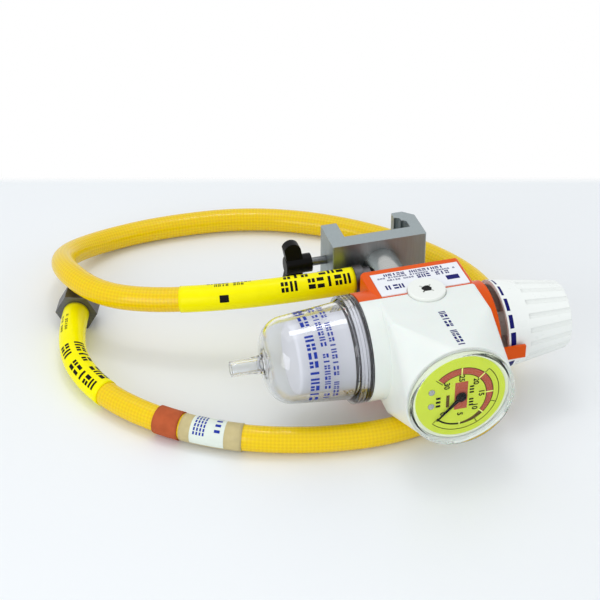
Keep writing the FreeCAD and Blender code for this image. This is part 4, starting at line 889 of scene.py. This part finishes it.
line_marks = [
    dial_arc(ZERO_TURN, dark_turn, band_inside, BAND_OUTSIDE, DIAL_INK),
    dial_arc(ZERO_TURN, FULL_TURN, BAND_OUTSIDE, BAND_OUTSIDE + LINE_WIDTH, 2 * DIAL_INK),
    dial_arc(red_turn, FULL_TURN, line_inside, band_inside, 2 * DIAL_INK),
    dial_arc(ZERO_TURN, math.radians(45), OUTER_LINE, OUTER_LINE + LINE_WIDTH, 2 * DIAL_INK),
    tick(math.radians(45), BAND_OUTSIDE, OUTER_LINE, LINE_WIDTH, 2 * DIAL_INK),
    tick(math.radians(-20), BAND_OUTSIDE, OUTER_LINE, LINE_WIDTH, 2 * DIAL_INK),
    tick(math.radians(-62), BAND_OUTSIDE, OUTER_LINE, LINE_WIDTH, 2 * DIAL_INK),
    tick(FULL_TURN + math.radians(3), 0.0136, 0.0186, LINE_WIDTH, 2 * DIAL_INK),
    tick(ZERO_TURN, 0.0165, OUTER_LINE, LINE_WIDTH, 2 * DIAL_INK),
]
side_marks = [
    dial_block(0.0047, 0.0071, low, low + 0.0011)
    for low in (-0.0070, -0.0052, -0.0034, 0.0010, 0.0028, 0.0046)
] + [dial_block(-0.0133, -0.0108, low, low + 0.0014) for low in (-0.0046, -0.0022, 0.0002)]
patches("dial_lines", line_marks + side_marks, black_ink_and_shade, "housing")
gap_marks = []
for value in range(5, FULL_SCALE, 5):
    turn = dial_turn(value)
    gap_marks.append(tick(
        turn, band_inside(turn) - GAP_INSIDE, BAND_OUTSIDE + GAP_OUTSIDE, GAP_WIDTH, 3 * DIAL_INK
    ))
patches("dial_gaps", gap_marks, dial_pale, "housing")

# %% Write the numbers
NUMBER_HEIGHT = 0.0041
NUMBER_RADIUS = 0.0112


def number_mesh(text, middle, name):
    """A number as flat mesh on the dial, with its top towards the knob."""
    data = bpy.data.curves.new(name, "FONT")
    data.body = text
    data.size = NUMBER_HEIGHT
    data.offset = 0.00013
    data.align_x = "CENTER"
    data.align_y = "CENTER"
    drawn = bpy.data.objects.new(name, data)
    bpy.context.scene.collection.objects.link(drawn)
    mesh = bpy.data.meshes.new_from_object(drawn)
    bpy.data.objects.remove(drawn)
    reading = Vector((0, 0, -1))
    top = Vector((1, 0, 0))
    turn = Matrix((reading, top, reading.cross(top))).transposed().to_4x4()
    mesh.transform(Matrix.Translation(middle) @ turn)
    obj = bpy.data.objects.new(name, mesh)
    bpy.context.scene.collection.objects.link(obj)
    obj.data.materials.clear()
    obj.data.materials.append(black_ink_and_shade.material)
    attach(obj, "housing")
    return obj


for value in range(0, FULL_SCALE + 1, 5):
    turn = dial_turn(value)
    radius = NUMBER_RADIUS + (0.002 if value == 0 else 0)
    number_mesh(str(value), dial_point(radius, turn, 2 * DIAL_INK), "dial_number_" + str(value))
print("dial numbers:", FULL_SCALE // 5 + 1)

# %% [markdown]
# ## Print on the covers, the knob and the jar
# Print that lies on a moulded face follows it exactly, so each small patch is dropped onto the
# node's own mesh: a ray from above finds the surface, and the ink lies just over it. Round the
# knob and the jar, the patch's points come from the piece's own cone.

# %% Find the surface below a point
def surface_tree(name):
    """A search tree of a node's mesh."""
    mesh = nodes[name].data
    return BVHTree.FromPolygons(
        [vertex.co for vertex in mesh.vertices], [tuple(face.vertices) for face in mesh.polygons]
    )


def on_top(tree, x_low, x_high, y_low, y_high, steps=2):
    """A patch between two places along X and two along Y, dropped onto a mesh from above."""
    rows = []
    for row in range(steps + 1):
        y = y_high + (y_low - y_high) * row / steps
        line_of_points = []
        for column in range(steps + 1):
            x = x_low + (x_high - x_low) * column / steps
            hit = tree.ray_cast(Vector((x, y, 0.06)), Vector((0, 0, -1)))[0]
            line_of_points.append(hit + Vector((0, 0, INK_LIFT)))
        rows.append(line_of_points)
    return rows


# %% Print the label
label_low, label_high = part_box("label_plate")
label_tree = surface_tree("label_plate")


def label_row(left, right, back, front, width, gap, order):
    """Signs in one row of the label, measured from its back left corner."""
    bottom_y = label_high.y - front
    height = front - back
    return [
        on_top(label_tree, label_low.x + low, label_low.x + high,
               bottom_y + bottom * height, bottom_y + top * height, steps=1)
        for low, high, bottom, top in sign_row(left, right, width, gap, order)
    ]


label_ink = (
    label_row(0.0070, 0.0415, 0.0012, 0.0034, 0.0019, 0.0005, LONG_LINE)
    + label_row(0.0028, 0.0465, 0.0042, 0.0055, 0.0011, 0.0004, SHORT_LINE)
    + label_row(0.0075, 0.0228, 0.0066, 0.0079, 0.0011, 0.0004, LONG_LINE)
    + label_row(0.0240, 0.0428, 0.0061, 0.0092, 0.0020, 0.0006, SHORT_LINE)
    + label_row(0.0045, 0.0076, 0.0118, 0.0158, 0.0026, 0.0005, ("pair",))
    + label_row(0.0088, 0.0145, 0.0118, 0.0158, 0.0026, 0.0005, ("slabs", "pair"))
    + label_row(0.0385, 0.0455, 0.0112, 0.0152, 0.0070, 0.001, ONE_BLOCK)
)
patches("label_print", label_ink, navy_ink, "housing")

# %% Print the line on the front cover
cover_tree = surface_tree("front_cover")
HOUSE_SEAM = -0.083
COVER_LINE_LEFT = -0.0009
COVER_LINE_WIDTH = 0.0036
cover_ink = [
    on_top(cover_tree, COVER_LINE_LEFT + bottom * COVER_LINE_WIDTH,
           COVER_LINE_LEFT + top * COVER_LINE_WIDTH, HOUSE_SEAM - high, HOUSE_SEAM - low)
    for low, high, bottom, top in sign_row(0.0200, 0.0530, 0.0022, 0.0007, LONG_LINE)
]
patches("cover_print", cover_ink, navy_ink, "housing")

# %% [markdown]
# The upper cover screw's cross recess is drawn as painted shade: a black disc in its middle, with
# an edge that isn't quite round.

# %% Paint the shade in the screw's recess
screw_low, screw_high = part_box("cover_screws")
RECESS_SHADE_RADII = (
    0.0027, 0.0024, 0.0028, 0.0026, 0.0023, 0.0027, 0.0029, 0.0025, 0.0026, 0.0023, 0.0028, 0.0026,
)


def screw_plug(radii):
    """A disc of points with an uneven edge, just over the screw's head, as painted shade of its
    recess.
    """
    middle = (screw_low + screw_high) / 2
    rows = []
    for share in (0.05, 0.5, 1.0):
        row = []
        for index in range(len(radii) + 1):
            turn = math.tau * index / len(radii)
            radius = share * radii[index % len(radii)]
            place = Vector((middle.x, middle.y, screw_high.z + INK_LIFT))
            row.append(place + Vector((radius * math.cos(turn), radius * math.sin(turn), 0)))
        rows.append(row)
    return rows


# Painted shade: the black disc stands for the shadow inside the cross recess.
patches("screw_plug", [screw_plug(RECESS_SHADE_RADII)], black_ink_and_shade, "housing")


# %% Print round the knob and the jar
def round_axis(radius_at, x_low, x_high, first_turn, last_turn, steps=4):
    """A patch on a cone about the housing's long axis, where a turn of 90 degrees is in front."""
    rows = []
    for row in range(2):
        x = x_low + (x_high - x_low) * row
        radius = radius_at(x) + INK_LIFT
        turns = [first_turn + (last_turn - first_turn) * step / steps for step in range(steps + 1)]
        rows.append([
            Vector((x, HOUSE_SEAM - radius * math.sin(turn), radius * math.cos(turn)))
            for turn in turns
        ])
    return rows


KNOB_START = 0.0386
KNOB_RADIUS = 0.0246
KNOB_TAPER = (0.0246 - 0.0183) / (0.0775 - 0.0386)
DASH_STEP = math.tau / 16
DASH_SHARE = 0.76
DASH_START = 0.0397
DASH_WIDTHS = (0.0004, 0.0007, 0.0010, 0.0014, 0.0020, 0.0024, 0.0030, 0.0033, 0.0036)
FIRST_DASH = math.radians(-59.2)


def knob_radius(x):
    return KNOB_RADIUS - KNOB_TAPER * (x - KNOB_START)


dashes = []
for index, width in enumerate(DASH_WIDTHS):
    middle = FIRST_DASH + index * DASH_STEP
    half = DASH_STEP * DASH_SHARE / 2
    stop = DASH_START + width
    dashes.append(round_axis(knob_radius, DASH_START, stop, middle - half, middle + half))
patches("knob_dashes", dashes, navy_ink, "knob")

JAR_ROOT = -0.0448
JAR_ROOT_RADIUS = 0.0262
JAR_SHOULDER = -0.0770
JAR_SHOULDER_RADIUS = 0.0232


def jar_radius(x):
    share = (x - JAR_ROOT) / (JAR_SHOULDER - JAR_ROOT)
    return JAR_ROOT_RADIUS + (JAR_SHOULDER_RADIUS - JAR_ROOT_RADIUS) * share


def jar_row(middle, height, first, last, width, gap, order):
    """Signs round the jar, with widths and gaps measured along its skin."""
    radius = jar_radius(middle)
    low = math.radians(first) * radius
    high = math.radians(last) * radius
    root = middle - height / 2
    return [
        round_axis(jar_radius, root + bottom * height, root + top * height,
                   start / radius, stop / radius)
        for start, stop, bottom, top in sign_row(low, high, width, gap, order)
    ]


jar_ink = (
    jar_row(-0.0678, 0.0046, -38, 128, 0.0034, 0.0012, LONG_LINE)
    + jar_row(-0.0612, 0.0030, -30, 124, 0.0021, 0.0009, SHORT_LINE)
    + jar_row(-0.0566, 0.0028, -26, 118, 0.0021, 0.0009, LONG_LINE)
)
patches("jar_print", jar_ink, blue_ink, "jar")
